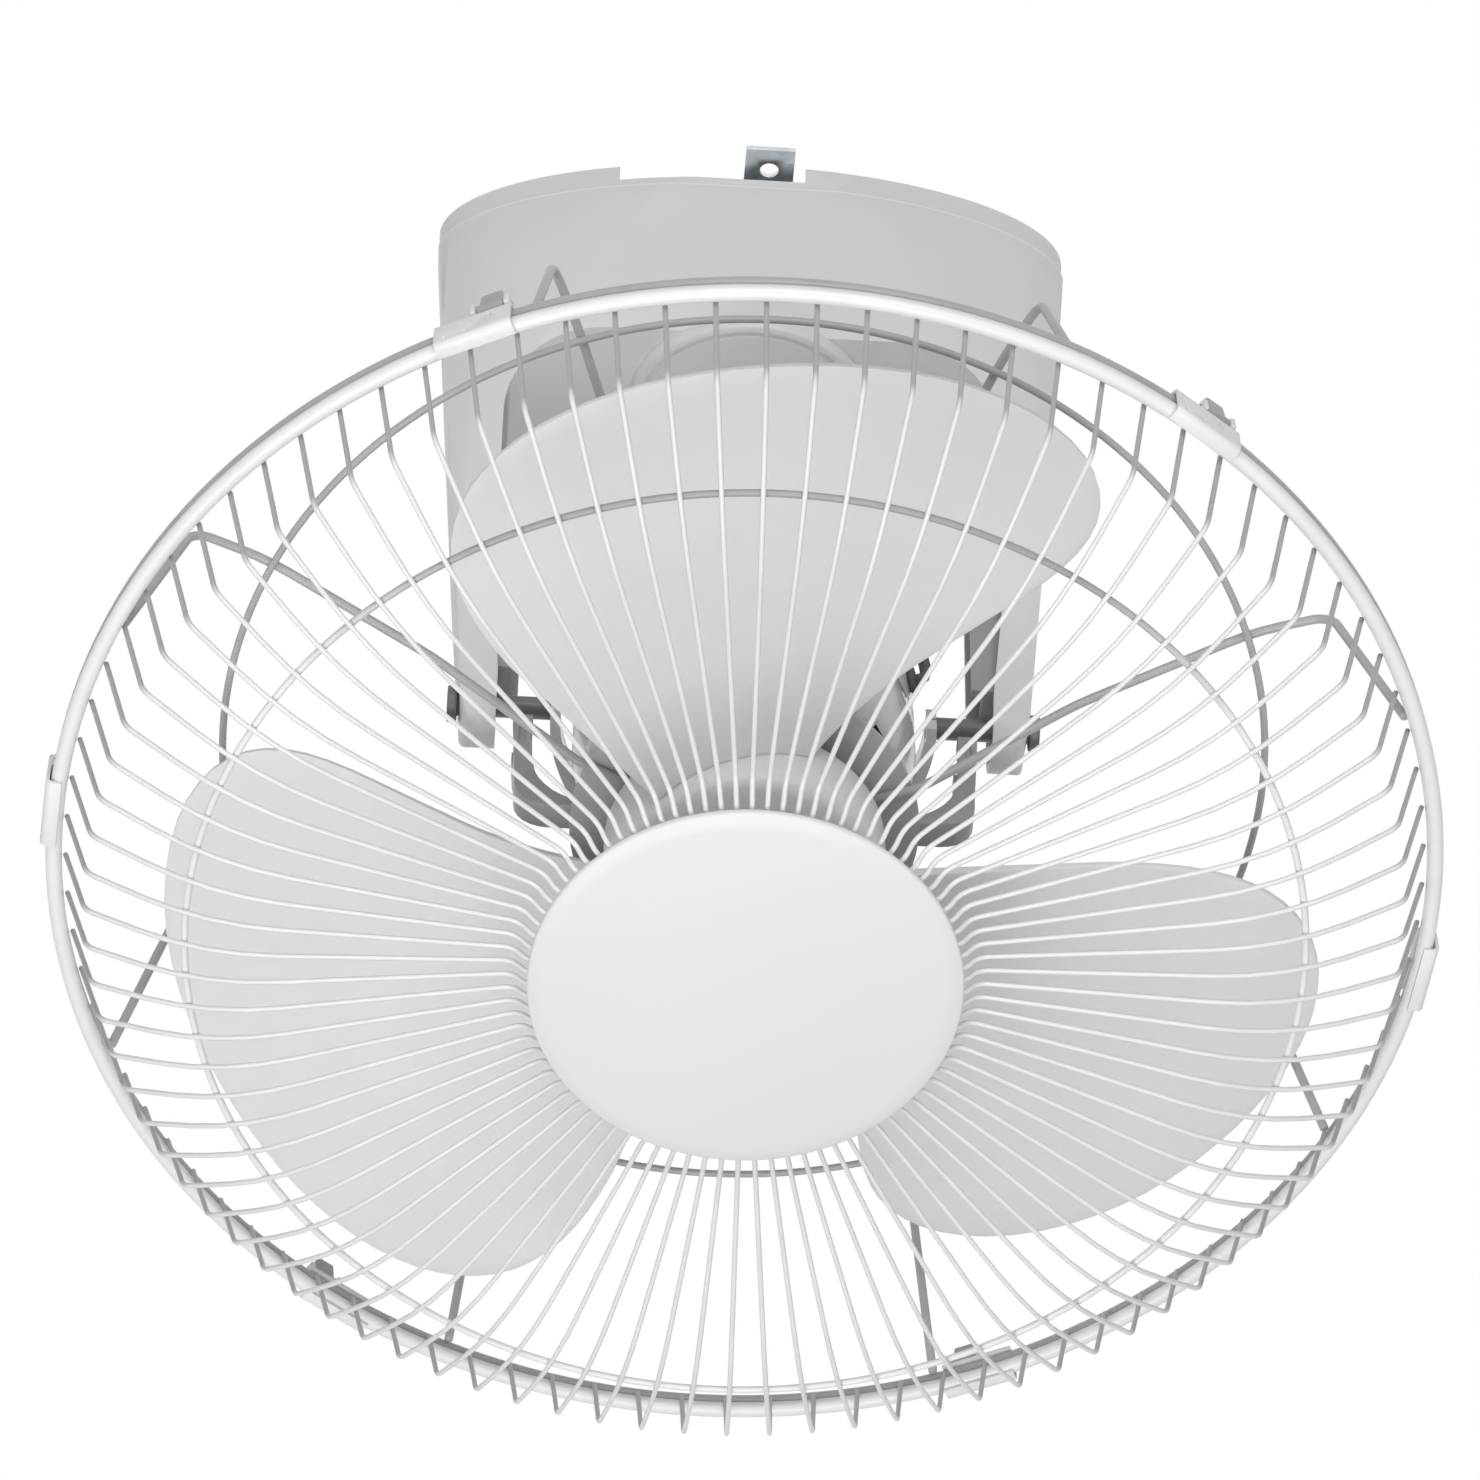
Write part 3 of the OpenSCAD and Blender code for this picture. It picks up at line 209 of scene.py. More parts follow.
def bent_wire(name, path, bends, thickness, sides=8, step=12):
    """A round wire in the XZ plane, from a circle that follows the path."""
    start = Vector((path[0][0], 0, path[0][1]))
    turn = math.atan2(path[1][0] - path[0][0], path[1][1] - path[0][1])
    bpy.ops.object.select_all(action="DESELECT")
    bpy.ops.mesh.primitive_circle_add(
        vertices=sides, radius=thickness / 2, location=start, rotation=(0, turn, 0)
    )
    piece = named(name)
    bpy.ops.object.transform_apply(location=True, rotation=True, scale=True)
    bpy.ops.object.mode_set(mode="EDIT")
    bpy.ops.mesh.select_all(action="SELECT")
    follow(path, bends, step)
    bpy.ops.mesh.select_all(action="SELECT")
    bpy.ops.mesh.fill_holes(sides=sides)
    bpy.ops.object.mode_set(mode="OBJECT")
    tidy_normals(piece)
    return piece


def block(name, size, place):
    """A box to start from, at its size and place."""
    bpy.ops.object.select_all(action="DESELECT")
    bpy.ops.mesh.primitive_cube_add(size=1, location=place, scale=size)
    piece = named(name)
    bpy.ops.object.transform_apply(location=True, rotation=True, scale=True)
    return piece


def rod(name, radius, length, place, rotation=(0, 0, 0), sides=32):
    """A round bar to start from, at its size, place and turn."""
    bpy.ops.object.select_all(action="DESELECT")
    bpy.ops.mesh.primitive_cylinder_add(
        vertices=sides, radius=radius, depth=length, location=place, rotation=rotation
    )
    piece = named(name)
    bpy.ops.object.transform_apply(location=True, rotation=True, scale=True)
    return piece


def cut_away(piece, cutter):
    """Takes the cutter's shape out of a piece, and removes the cutter."""
    modify(piece, "BOOLEAN", object=cutter, operation="DIFFERENCE", solver="EXACT")
    bpy.data.objects.remove(cutter)


def around(piece, count, start=0.0):
    """Copies a piece round the fan axis and joins the copies."""
    copies = []
    for index in range(count):
        copy = piece.copy()
        copy.data = piece.data.copy()
        copy.matrix_world = Matrix.Rotation(math.radians(start + index * 360 / count), 4, "Z")
        bpy.context.scene.collection.objects.link(copy)
        copies.append(copy)
    name = piece.name
    bpy.data.objects.remove(piece)
    return joined(name, *copies)


def joined(name, *pieces):
    """Makes one piece of several, with their places in its mesh."""
    bpy.ops.object.select_all(action="DESELECT")
    for piece in pieces:
        piece.select_set(True)
    bpy.context.view_layer.objects.active = pieces[0]
    bpy.ops.object.join()
    piece = named(name)
    bpy.ops.object.transform_apply(location=True, rotation=True, scale=True)
    return piece


def ring(name, radius, height, thickness, segments=180):
    """A wire ring with the low swelling of its butt weld."""
    bpy.ops.object.select_all(action="DESELECT")
    bpy.ops.mesh.primitive_torus_add(
        major_radius=radius,
        minor_radius=thickness / 2,
        major_segments=segments,
        minor_segments=12,
        location=(0, 0, height),
    )
    piece = named(name)
    bpy.ops.object.transform_apply(location=True, rotation=True, scale=True)
    bpy.ops.object.mode_set(mode="EDIT")
    half_weld = 0.6 * 2 * math.pi * radius / segments
    pick(piece, lambda co, n: co.x > 0 and abs(co.y) < half_weld, "VERT")
    bpy.ops.transform.resize(value=(1, 1, WELD_SWELL), center_override=(radius, 0, height))
    bpy.ops.object.mode_set(mode="OBJECT")
    only(piece)
    bpy.ops.object.shade_smooth()
    return piece


def from_solid(node, width, angle=35):
    """A copy of a solid, in millimetres, with its triangles merged and its edges rounded."""
    source = frame["nodes"][node]
    piece = source.copy()
    piece.data = source.data.copy()
    piece.name = node + "_dressed"
    piece.data.name = piece.name
    piece.parent = None
    piece.data.materials.clear()
    piece.data.transform(MM.inverted())
    for key in list(piece.keys()):
        del piece[key]
    bpy.context.scene.collection.objects.link(piece)
    only(piece)
    if piece.data.has_custom_normals:
        bpy.ops.mesh.customdata_custom_splitnormals_clear()
    bpy.ops.object.mode_set(mode="EDIT")
    bpy.ops.mesh.select_all(action="SELECT")
    bpy.ops.mesh.remove_doubles(threshold=SOLID_MERGE)
    bpy.ops.mesh.dissolve_limited(angle_limit=math.radians(SOLID_FLAT))
    bpy.ops.object.mode_set(mode="OBJECT")
    soften(piece, width, angle=angle)
    return piece


def settle(piece, place, body, finish, *solids):
    """Puts a piece in its place, gives it its finish and lets it ride on its body."""
    piece.matrix_world = place @ MM
    only(piece)
    bpy.ops.object.transform_apply(location=True, rotation=True, scale=True)
    piece.data.materials.clear()
    piece.data.materials.append(FINISHES[finish])
    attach(piece, body)
    if solids:
        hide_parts(*solids)
    return piece


# ---- Finishes ----
# Colours and pattern scales that don't differ by piece; materials and slots by finish
DUST = (0.42, 0.40, 0.37, 1)
DUST_SPECKS = 900.0
ZINC_DARK, ZINC_PALE, ZINC_CELLS = (0.58, 0.63, 0.66, 1), (0.74, 0.79, 0.82, 1), 260.0
WIRE_ROWS, WIRE_RELIEF = 260.0, 0.0004
FINISHES, SLOTS = {}, {}


def group(name, inputs, outputs):
    """A shader group with named sockets; returns its tree and its end nodes."""
    tree = bpy.data.node_groups.new(name, "ShaderNodeTree")
    for label, kind, value in inputs:
        socket = tree.interface.new_socket(label, in_out="INPUT", socket_type="NodeSocket" + kind)
        if value is not None:
            socket.default_value = value
    for label, kind in outputs:
        tree.interface.new_socket(label, in_out="OUTPUT", socket_type="NodeSocket" + kind)
    return tree, tree.nodes.new("NodeGroupInput"), tree.nodes.new("NodeGroupOutput")


def noise(tree, vector, scale, detail=3.0, roughness=0.5):
    node = tree.nodes.new("ShaderNodeTexNoise")
    node.inputs["Detail"].default_value = detail
    node.inputs["Roughness"].default_value = roughness
    tree.links.new(vector, node.inputs["Vector"])
    if isinstance(scale, float):
        node.inputs["Scale"].default_value = scale
    else:
        tree.links.new(scale, node.inputs["Scale"])
    return node.outputs["Fac"]


def spread(tree, value, low, high):
    """Maps a noise value about 0.5 to the range from low to high."""
    node = tree.nodes.new("ShaderNodeMapRange")
    node.inputs["From Min"].default_value = 0.3
    node.inputs["From Max"].default_value = 0.7
    tree.links.new(value, node.inputs["Value"])
    for label, end in (("To Min", low), ("To Max", high)):
        if isinstance(end, float):
            node.inputs[label].default_value = end
        else:
            tree.links.new(end, node.inputs[label])
    return node.outputs["Result"]


def tone_group():
    """Slow change of tone over a surface, with a little settled dust on what faces up."""
    tree, start, end = group(
        "tone",
        [
            ("Vector", "Vector", None),
            ("Color", "Color", None),
            ("Dark", "Color", None),
            ("Scale", "Float", 20.0),
            ("Dust", "Float", 0.1),
        ],
        [("Color", "Color")],
    )
    slow = noise(tree, start.outputs["Vector"], start.outputs["Scale"], 4.0)
    blend = tree.nodes.new("ShaderNodeMix")
    blend.data_type = "RGBA"
    tree.links.new(spread(tree, slow, 0.0, 1.0), blend.inputs["Factor"])
    tree.links.new(start.outputs["Dark"], blend.inputs["A"])
    tree.links.new(start.outputs["Color"], blend.inputs["B"])
    facing = tree.nodes.new("ShaderNodeNewGeometry")
    split = tree.nodes.new("ShaderNodeSeparateXYZ")
    tree.links.new(facing.outputs["Normal"], split.inputs["Vector"])
    up = tree.nodes.new("ShaderNodeMapRange")
    up.inputs["From Min"].default_value = 0.2
    up.inputs["From Max"].default_value = 1.0
    tree.links.new(split.outputs["Z"], up.inputs["Value"])
    specks = noise(tree, start.outputs["Vector"], DUST_SPECKS, 2.0)
    cover = tree.nodes.new("ShaderNodeMath")
    cover.operation = "MULTIPLY"
    tree.links.new(up.outputs["Result"], cover.inputs[0])
    tree.links.new(spread(tree, specks, 0.4, 1.0), cover.inputs[1])
    amount = tree.nodes.new("ShaderNodeMath")
    amount.operation = "MULTIPLY"
    tree.links.new(cover.outputs["Value"], amount.inputs[0])
    tree.links.new(start.outputs["Dust"], amount.inputs[1])
    dusty = tree.nodes.new("ShaderNodeMix")
    dusty.data_type = "RGBA"
    dusty.inputs["B"].default_value = DUST
    tree.links.new(amount.outputs["Value"], dusty.inputs["Factor"])
    tree.links.new(blend.outputs["Result"], dusty.inputs["A"])
    tree.links.new(dusty.outputs["Result"], end.inputs["Color"])
    return tree


def relief_group():
    """Fine relief of a surface: orange peel, mould texture or casting skin."""
    tree, start, end = group(
        "relief",
        [
            ("Vector", "Vector", None),
            ("Scale", "Float", 900.0),
            ("Strength", "Float", 0.1),
            ("Depth", "Float", 0.0001),
        ],
        [("Normal", "Vector")],
    )
    fine = noise(tree, start.outputs["Vector"], start.outputs["Scale"], 2.0)
    bump = tree.nodes.new("ShaderNodeBump")
    tree.links.new(fine, bump.inputs["Height"])
    tree.links.new(start.outputs["Strength"], bump.inputs["Strength"])
    tree.links.new(start.outputs["Depth"], bump.inputs["Distance"])
    tree.links.new(bump.outputs["Normal"], end.inputs["Normal"])
    return tree


def polish_group():
    """Roughness that changes a little from place to place, with faint smears."""
    tree, start, end = group(
        "polish",
        [
            ("Vector", "Vector", None),
            ("Low", "Float", 0.3),
            ("High", "Float", 0.4),
            ("Scale", "Float", 60.0),
        ],
        [("Roughness", "Float")],
    )
    smear = noise(tree, start.outputs["Vector"], start.outputs["Scale"], 5.0, 0.6)
    roughness = spread(tree, smear, start.outputs["Low"], start.outputs["High"])
    tree.links.new(roughness, end.inputs["Roughness"])
    return tree


TONE, RELIEF, POLISH = tone_group(), relief_group(), polish_group()


def use(tree, source, values, vector):
    """Places a shared group in a material, with its own values."""
    node = tree.nodes.new("ShaderNodeGroup")
    node.node_tree = source
    for label, value in values.items():
        node.inputs[label].default_value = value
    tree.links.new(vector, node.inputs["Vector"])
    return node


def finish(name, slot, color, dark, rough, scale, dust, relief, **shader_values):
    """A material whose tone, roughness and relief come from the shared groups, and its slot."""
    material = bpy.data.materials.new(name)
    material.use_nodes = True
    tree = material.node_tree
    shader = tree.nodes["Principled BSDF"]
    place = tree.nodes.new("ShaderNodeTexCoord").outputs["Object"]
    tones = {"Color": (*color, 1), "Dark": (*dark, 1), "Scale": scale, "Dust": dust}
    tone = use(tree, TONE, tones, place)
    polish = use(tree, POLISH, {"Low": rough[0], "High": rough[1]}, place)
    fine = use(tree, RELIEF, {"Scale": relief[0], "Strength": relief[1]}, place)
    tree.links.new(tone.outputs["Color"], shader.inputs["Base Color"])
    tree.links.new(polish.outputs["Roughness"], shader.inputs["Roughness"])
    tree.links.new(fine.outputs["Normal"], shader.inputs["Normal"])
    for label, value in shader_values.items():
        shader.inputs[label.replace("_", " ")].default_value = value
    FINISHES[name], SLOTS[name] = material, slot


def zinc_spangle(material):
    """Crystal patches of a zinc coat, in place of the slow tone and smears of its finish."""
    tree = material.node_tree
    shader = tree.nodes["Principled BSDF"]
    place = tree.nodes["Texture Coordinate"].outputs["Object"]
    cells = tree.nodes.new("ShaderNodeTexVoronoi")
    cells.inputs["Scale"].default_value = ZINC_CELLS
    tree.links.new(place, cells.inputs["Vector"])
    split = tree.nodes.new("ShaderNodeSeparateColor")
    tree.links.new(cells.outputs["Color"], split.inputs["Color"])
    blend = tree.nodes.new("ShaderNodeMix")
    blend.data_type = "RGBA"
    blend.inputs["A"].default_value = ZINC_DARK
    blend.inputs["B"].default_value = ZINC_PALE
    tree.links.new(split.outputs["Red"], blend.inputs["Factor"])
    tree.links.new(blend.outputs["Result"], shader.inputs["Base Color"])
    tree.links.new(spread(tree, split.outputs["Green"], 0.28, 0.42), shader.inputs["Roughness"])


def blend_in(material, factor, color):
    """Mixes a colour into a finish where the factor says so."""
    tree = material.node_tree
    base = tree.nodes["Principled BSDF"].inputs["Base Color"]
    blend = tree.nodes.new("ShaderNodeMix")
    blend.data_type = "RGBA"
    blend.inputs["B"].default_value = (*color, 1)
    tree.links.new(factor, blend.inputs["Factor"])
    tree.links.new(base.links[0].from_socket, blend.inputs["A"])
    tree.links.new(blend.outputs["Result"], base)


def ranged(tree, value, start, stop):
    """Runs from 0 at one value to 1 at the other."""
    node = tree.nodes.new("ShaderNodeMapRange")
    node.inputs["From Min"].default_value = start
    node.inputs["From Max"].default_value = stop
    tree.links.new(value, node.inputs["Value"])
    return node.outputs["Result"]


def place_parts(tree):
    """The place on the piece, as its X, Y and Z."""
    split = tree.nodes.new("ShaderNodeSeparateXYZ")
    tree.links.new(tree.nodes["Texture Coordinate"].outputs["Object"], split.inputs["Vector"])
    return split


def painted_side_run_shade(material, color):
    """Painted shade: the front wires' colour turns greyer on their side runs, behind the shoulder bend,
    where they get little light.
    """
    tree = material.node_tree
    along = tree.nodes.new("ShaderNodeVectorMath")
    along.operation = "DOT_PRODUCT"
    axis = HEAD.to_3x3() @ Vector((0, 0, 1))
    along.inputs[1].default_value = axis
    tree.links.new(tree.nodes["Texture Coordinate"].outputs["Object"], along.inputs[0])
    bend = HEAD.translation.dot(axis) + (RIM_A + SHOULDER_RISE) / 1000
    blend_in(material, ranged(tree, along.outputs["Value"], bend + 0.002, bend - 0.003), color)


def painted_front_arc_shade(material, color):
    """Painted shade: the middle ring's colour turns greyer on its front arc, over the front blade,
    where that side is in shade.
    """
    tree = material.node_tree
    split = place_parts(tree)
    blend_in(material, ranged(tree, split.outputs["Y"], *PAINTED_SHADE_ARC_Y), color)


def painted_lip_highlight(material, color):
    """Painted highlight: a pale line along the edge where the housing's lip steps in, where the step
    catches the light.
    """
    tree = material.node_tree
    split = place_parts(tree)
    above = ranged(tree, split.outputs["Z"], -LIP_H - 0.0010, -LIP_H - 0.0006)
    below = ranged(tree, split.outputs["Z"], -LIP_H + 0.0006, -LIP_H + 0.0002)
    both = tree.nodes.new("ShaderNodeMath")
    both.operation = "MULTIPLY"
    tree.links.new(above, both.inputs[0])
    tree.links.new(below, both.inputs[1])
    blend_in(material, both.outputs["Value"], color)


def copper_turns(material):
    """Rows of varnished wire, side by side."""
    tree = material.node_tree
    shader = tree.nodes["Principled BSDF"]
    place = tree.nodes["Texture Coordinate"].outputs["Object"]
    rows = tree.nodes.new("ShaderNodeTexWave")
    rows.wave_type = "RINGS"
    rows.rings_direction = "SPHERICAL"
    rows.inputs["Scale"].default_value = WIRE_ROWS
    tree.links.new(place, rows.inputs["Vector"])
    bump = tree.nodes.new("ShaderNodeBump")
    bump.inputs["Distance"].default_value = WIRE_RELIEF
    tree.links.new(rows.outputs["Fac"], bump.inputs["Height"])
    tree.links.new(bump.outputs["Normal"], shader.inputs["Normal"])


finish(
    "coated_wire", "guard_paint", (0.86, 0.87, 0.87), (0.82, 0.83, 0.83),
    rough=(0.28, 0.40), scale=60.0, dust=0.25, relief=(1600.0, 0.12), Coat_Weight=0.25
)
finish(
    "front_wire", "guard_paint", (0.80, 0.81, 0.81), (0.75, 0.76, 0.76),
    rough=(0.28, 0.40), scale=60.0, dust=0.15, relief=(1600.0, 0.12), Coat_Weight=0.25
)
finish(
    "middle_wire", "guard_paint", (0.84, 0.85, 0.85), (0.80, 0.81, 0.81),
    rough=(0.30, 0.44), scale=60.0, dust=0.15, relief=(1600.0, 0.12), Coat_Weight=0.15
)
# Painted shade: the guard's white coat, darkened for the inner ring, which sits in shade.
finish(
    "shaded_inner_wire", "guard_paint", (0.55, 0.56, 0.56), (0.49, 0.50, 0.50),
    rough=(0.30, 0.44), scale=60.0, dust=0.15, relief=(1600.0, 0.12), Coat_Weight=0.15
)
# The rear guard's coat: partly a greyer paint of its own, partly painted shade, as the rear guard sits
# in shade behind the front one.
finish(
    "rear_wire_grey_and_shade", "rear_guard_paint", (0.48, 0.49, 0.49), (0.42, 0.43, 0.43),
    rough=(0.30, 0.44), scale=60.0, dust=0.15, relief=(1600.0, 0.12), Coat_Weight=0.15
)
finish(
    "blade_plastic", "blade_plastic", (0.80, 0.81, 0.80), (0.76, 0.77, 0.76),
    rough=(0.38, 0.50), scale=14.0, dust=0.20, relief=(1200.0, 0.05), Subsurface_Weight=0.35,
    Subsurface_Scale=0.006, Subsurface_Radius=(1, 1, 1)
)
finish(
    "cap_plastic", "badge_plastic", (0.78, 0.79, 0.79), (0.76, 0.77, 0.77),
    rough=(0.34, 0.42), scale=10.0, dust=0.10, relief=(1500.0, 0.04), Coat_Weight=0.1
)
finish(
    "housing_plastic", "housing_shell", (0.84, 0.845, 0.835), (0.81, 0.815, 0.805),
    rough=(0.36, 0.46), scale=12.0, dust=0.15, relief=(2200.0, 0.16)
)
finish(
    "boss_plastic", "boss_shell", (0.84, 0.84, 0.82), (0.80, 0.80, 0.785),
    rough=(0.34, 0.44), scale=18.0, dust=0.05, relief=(2200.0, 0.12)
)
finish(
    "motor_enamel", "motor_paint", (0.76, 0.79, 0.80), (0.70, 0.73, 0.74),
    rough=(0.16, 0.26), scale=16.0, dust=0.35, relief=(700.0, 0.14), Coat_Weight=0.5,
    Coat_Roughness=0.08
)
finish(
    "dark_paint", "dark_frame", (0.42, 0.42, 0.41), (0.35, 0.35, 0.345),
    rough=(0.34, 0.48), scale=24.0, dust=0.25, relief=(1400.0, 0.2)
)
finish(
    "zinc", "zinc_plate", (0.55, 0.58, 0.61), (0.48, 0.51, 0.54),
    rough=(0.28, 0.42), scale=40.0, dust=0.0, relief=(1800.0, 0.08), Metallic=1.0
)
finish(
    "steel", "steel", (0.56, 0.57, 0.58), (0.46, 0.47, 0.48),
    rough=(0.22, 0.34), scale=60.0, dust=0.0, relief=(2400.0, 0.1), Metallic=1.0
)
finish(
    "dark_screw", "dark_screw", (0.20, 0.20, 0.20), (0.16, 0.16, 0.16),
    rough=(0.3, 0.45), scale=80.0, dust=0.1, relief=(1800.0, 0.15), Metallic=0.2
)
finish(
    "nylon", "nylon", (0.70, 0.68, 0.61), (0.64, 0.62, 0.55),
    rough=(0.40, 0.50), scale=40.0, dust=0.1, relief=(1500.0, 0.06), Subsurface_Weight=0.15,
    Subsurface_Scale=0.003
)
# Painted shade: the clips' pale plastic, darkened for the levers, whose faces turn away from the light.
finish(
    "shaded_lever_plastic", "clip_plastic", (0.44, 0.45, 0.45), (0.39, 0.40, 0.40),
    rough=(0.34, 0.46), scale=60.0, dust=0.1, relief=(1800.0, 0.12)
)
finish(
    "clip_plastic", "clip_plastic", (0.85, 0.86, 0.86), (0.81, 0.82, 0.82),
    rough=(0.34, 0.46), scale=60.0, dust=0.1, relief=(1800.0, 0.12)
)
finish(
    "black_plastic", "black_plastic", (0.03, 0.03, 0.03), (0.022, 0.022, 0.022),
    rough=(0.40, 0.55), scale=40.0, dust=0.25, relief=(1500.0, 0.15)
)
finish(
    "black_rubber", "black_rubber", (0.10, 0.10, 0.10), (0.08, 0.08, 0.08),
    rough=(0.55, 0.7), scale=60.0, dust=0.25, relief=(1400.0, 0.25)
)
finish(
    "copper_wire", "copper_wire", (0.60, 0.26, 0.12), (0.45, 0.18, 0.08),
    rough=(0.22, 0.34), scale=80.0, dust=0.0, relief=(1500.0, 0.1), Metallic=0.9
)
zinc_spangle(FINISHES["zinc"])
copper_turns(FINISHES["copper_wire"])
# Painted shade on the front wires' side runs and on the middle ring's front arc, and a painted
# highlight on the housing's lip
painted_side_run_shade(FINISHES["front_wire"], (0.42, 0.43, 0.43))
painted_front_arc_shade(FINISHES["middle_wire"], (0.34, 0.35, 0.35))
painted_lip_highlight(FINISHES["housing_plastic"], (0.98, 0.98, 0.975))


# ---- Guard ----
PLATE_T = 2.2
PLATE_RUN_A = BADGE_A - PLATE_T - FRONT_WIRE_D / 2 - 0.05
FRONT_PATH = [
    (GUARD_R - FRONT_RIM_D - FRONT_WIRE_D / 2 - 0.15, RIM_A - 2),
    (GUARD_R - 16, RIM_A + SHOULDER_RISE),
    (178, RIM_A + 50),
    (BADGE_R + 5.1, RIM_A + 44.5),
    (BADGE_R + 0.1, PLATE_RUN_A),
    (INNER_RING_R - FRONT_RING_D, PLATE_RUN_A),
]
FRONT_BENDS = [0, 8, 90, 7, 6, 0]
REAR_RIM_R = GUARD_R - REAR_RIM_D / 2 - 0.2
REAR_RIM_A = RIM_A - FRONT_RIM_D / 2 - REAR_RIM_D / 2 - 0.12
GUARD_HUB_A, GUARD_HUB_R = 67.05, 60.0
REAR_START_A = GUARD_HUB_A + REAR_WIRE_D / 2
REAR_PATH = [
    (46, REAR_START_A),
    (GUARD_HUB_R + 3, REAR_START_A),
    (120, 43.4),
    (REAR_RING_R + 2, 27.6),
    (GUARD_R - 25, 29.6),
    (REAR_RIM_R - REAR_RIM_D / 2 - REAR_WIRE_D / 2 - 0.25, REAR_RIM_A + 1),
]
REAR_BENDS = [0, 12, 60, 60, 10, 0]


def front_guard():
    """The front guard: one bent wire, copied round the fan axis."""
    wire = bent_wire("front_guard_wire", FRONT_PATH, FRONT_BENDS, FRONT_WIRE_D, sides=8, step=8)
    soften(wire, 0, angle=60)
    wires = around(wire, FRONT_WIRES)
    settle(wires, HEAD, "head", "front_wire", "front_guard_wires")


def rear_guard():
    """The rear guard: one bent wire, copied round the fan axis."""
    wire = bent_wire("rear_guard_wire", REAR_PATH, REAR_BENDS, REAR_WIRE_D, sides=12, step=7)
    soften(wire, 0.5, angle=60)
    wires = around(wire, REAR_WIRES, REAR_WIRE_TURN)
    settle(wires, HEAD, "head", "rear_wire_grey_and_shade", "rear_guard_wires")


def solid_middle(node):
    """Height along the fan axis of a ring's solid, in millimetres."""
    low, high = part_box(node)
    middle = (HEAD @ MM).inverted() @ ((low + high) / 2)
    return middle.z


def guard_rings():
    """The rims and rings that the wires are welded to."""
    for node, radius, thickness, look in (
        ("front_rim", GUARD_R - FRONT_RIM_D / 2, FRONT_RIM_D, "coated_wire"),
        ("rear_rim", REAR_RIM_R, REAR_RIM_D, "rear_wire_grey_and_shade"),
        ("rear_guard_ring", REAR_RING_R, REAR_RING_D, "rear_wire_grey_and_shade"),
        ("front_middle_ring", MIDDLE_RING_R, FRONT_RING_D, "middle_wire"),
        ("front_inner_ring", INNER_RING_R, FRONT_RING_D, "shaded_inner_wire"),
    ):
        piece = ring(node + "_wire", radius, solid_middle(node), thickness)
        settle(piece, HEAD, "head", look, node)


def cap():
    """The bare round cap: a turned-in lip, a shallow step and a low crown."""
    lip, edge = BADGE_A - 0.9, BADGE_A + 1.2
    crown, crown_r = edge + 0.8, BADGE_R - 0.9
    profile = [(BADGE_R - 2.4, lip), (BADGE_R - 0.4, lip), (BADGE_R, lip + 0.4)]
    profile += [(BADGE_R, edge - 0.6), (BADGE_R - 0.3, edge - 0.1), (crown_r, edge + 0.15)]
    for share in (0.965, 0.93, 0.88, 0.8, 0.7, 0.6, 0.5, 0.4, 0.3, 0.2, 0.1, 0):
        profile.append((crown_r * share, crown + BADGE_CROWN * (1 - share * share)))
    outer = turned("cap", profile, 160)
    modify(outer, "SOLIDIFY", thickness=CAP_T, offset=-1)
    soften(outer, 0, angle=40)
    settle(outer, HEAD, "head", "cap_plastic", "badge")


# ---- Blades and hub ----
LEAD_HALF, TRAIL_ROOT, TRAIL_TIP = 43.5, 23.0, 54.0
LEAD_POWER, TRAIL_POWER = 4.0, 3.0
HUB_PITCH, TIP_PITCH, CAMBER = 16.0, 36.0, 5.0
BLADE_MID, BLADE_TIP_MID = 90.0, 95.0
EDGE_SHARE, ROOT_GAP = 0.985, 0.15
BLADE_COLUMNS, BLADE_ROWS = 48, 24
HUB_WALL, HUB_ROUND, HUB_BORE_R, HUB_BOSS_R = 3, 6, 4.02, 11
NUT_ROUND, NUT_RIB = 4, 6


def mix(a, b, share):
    """The value at this share of the way from one to the other."""
    return a + (b - a) * share


def blade_point(across, along):
    """Place on the blade's middle surface, from -1 to 1 across it and 0 to 1 out to the tip."""
    t = EDGE_SHARE * math.sin(math.pi / 2 * across)
    power = LEAD_POWER if t > 0 else TRAIL_POWER
    reach = mix(HUB_R, BLADE_R, (1 - abs(t) ** power) ** (1 / power))
    root = HUB_R + ROOT_GAP
    radius = mix(root, reach, along)
    out = (radius - root) / (BLADE_R - root)
    turn = math.radians(t * LEAD_HALF if t > 0 else t * mix(TRAIL_ROOT, TRAIL_TIP, out))
    rise = mix(HUB_PITCH, TIP_PITCH, out) * turn
    middle = mix(BLADE_MID, BLADE_TIP_MID, out) - CAMBER * (1 - t * t) * math.sin(math.pi * min(out, 1))
    return Vector((radius * math.cos(turn), radius * math.sin(turn), middle + rise))


def blade():
    """A grid shaped to the blade, thick at its root, with rounded edges."""
    bpy.ops.object.select_all(action="DESELECT")
    bpy.ops.mesh.primitive_grid_add(x_subdivisions=BLADE_COLUMNS, y_subdivisions=BLADE_ROWS, size=2)
    piece = named("blade")
    for vert in piece.data.vertices:
        vert.co = blade_point(vert.co.x, (vert.co.y + 1) / 2)
    thickness = piece.vertex_groups.new(name="thickness")
    for vert in piece.data.vertices:
        out = (vert.co.xy.length - HUB_R) / (BLADE_R - HUB_R)
        thickness.add([vert.index], mix(1.0, 0.6, min(1, out * 2)), "REPLACE")
    modify(
        piece,
        "SOLIDIFY",
        thickness=BLADE_T * 1.5,
        offset=0,
        vertex_group="thickness",
        thickness_vertex_group=0.0,
    )
    tidy_normals(piece)
    soften(piece, 0.5, segments=3, angle=50)
    return piece


def blades():
    """Three blades round the hub."""
    piece = around(blade(), BLADES, BLADE_TURN)
    piece.name = "blades"
    settle(piece, HEAD, "rotor", "blade_plastic", "fan_blades")


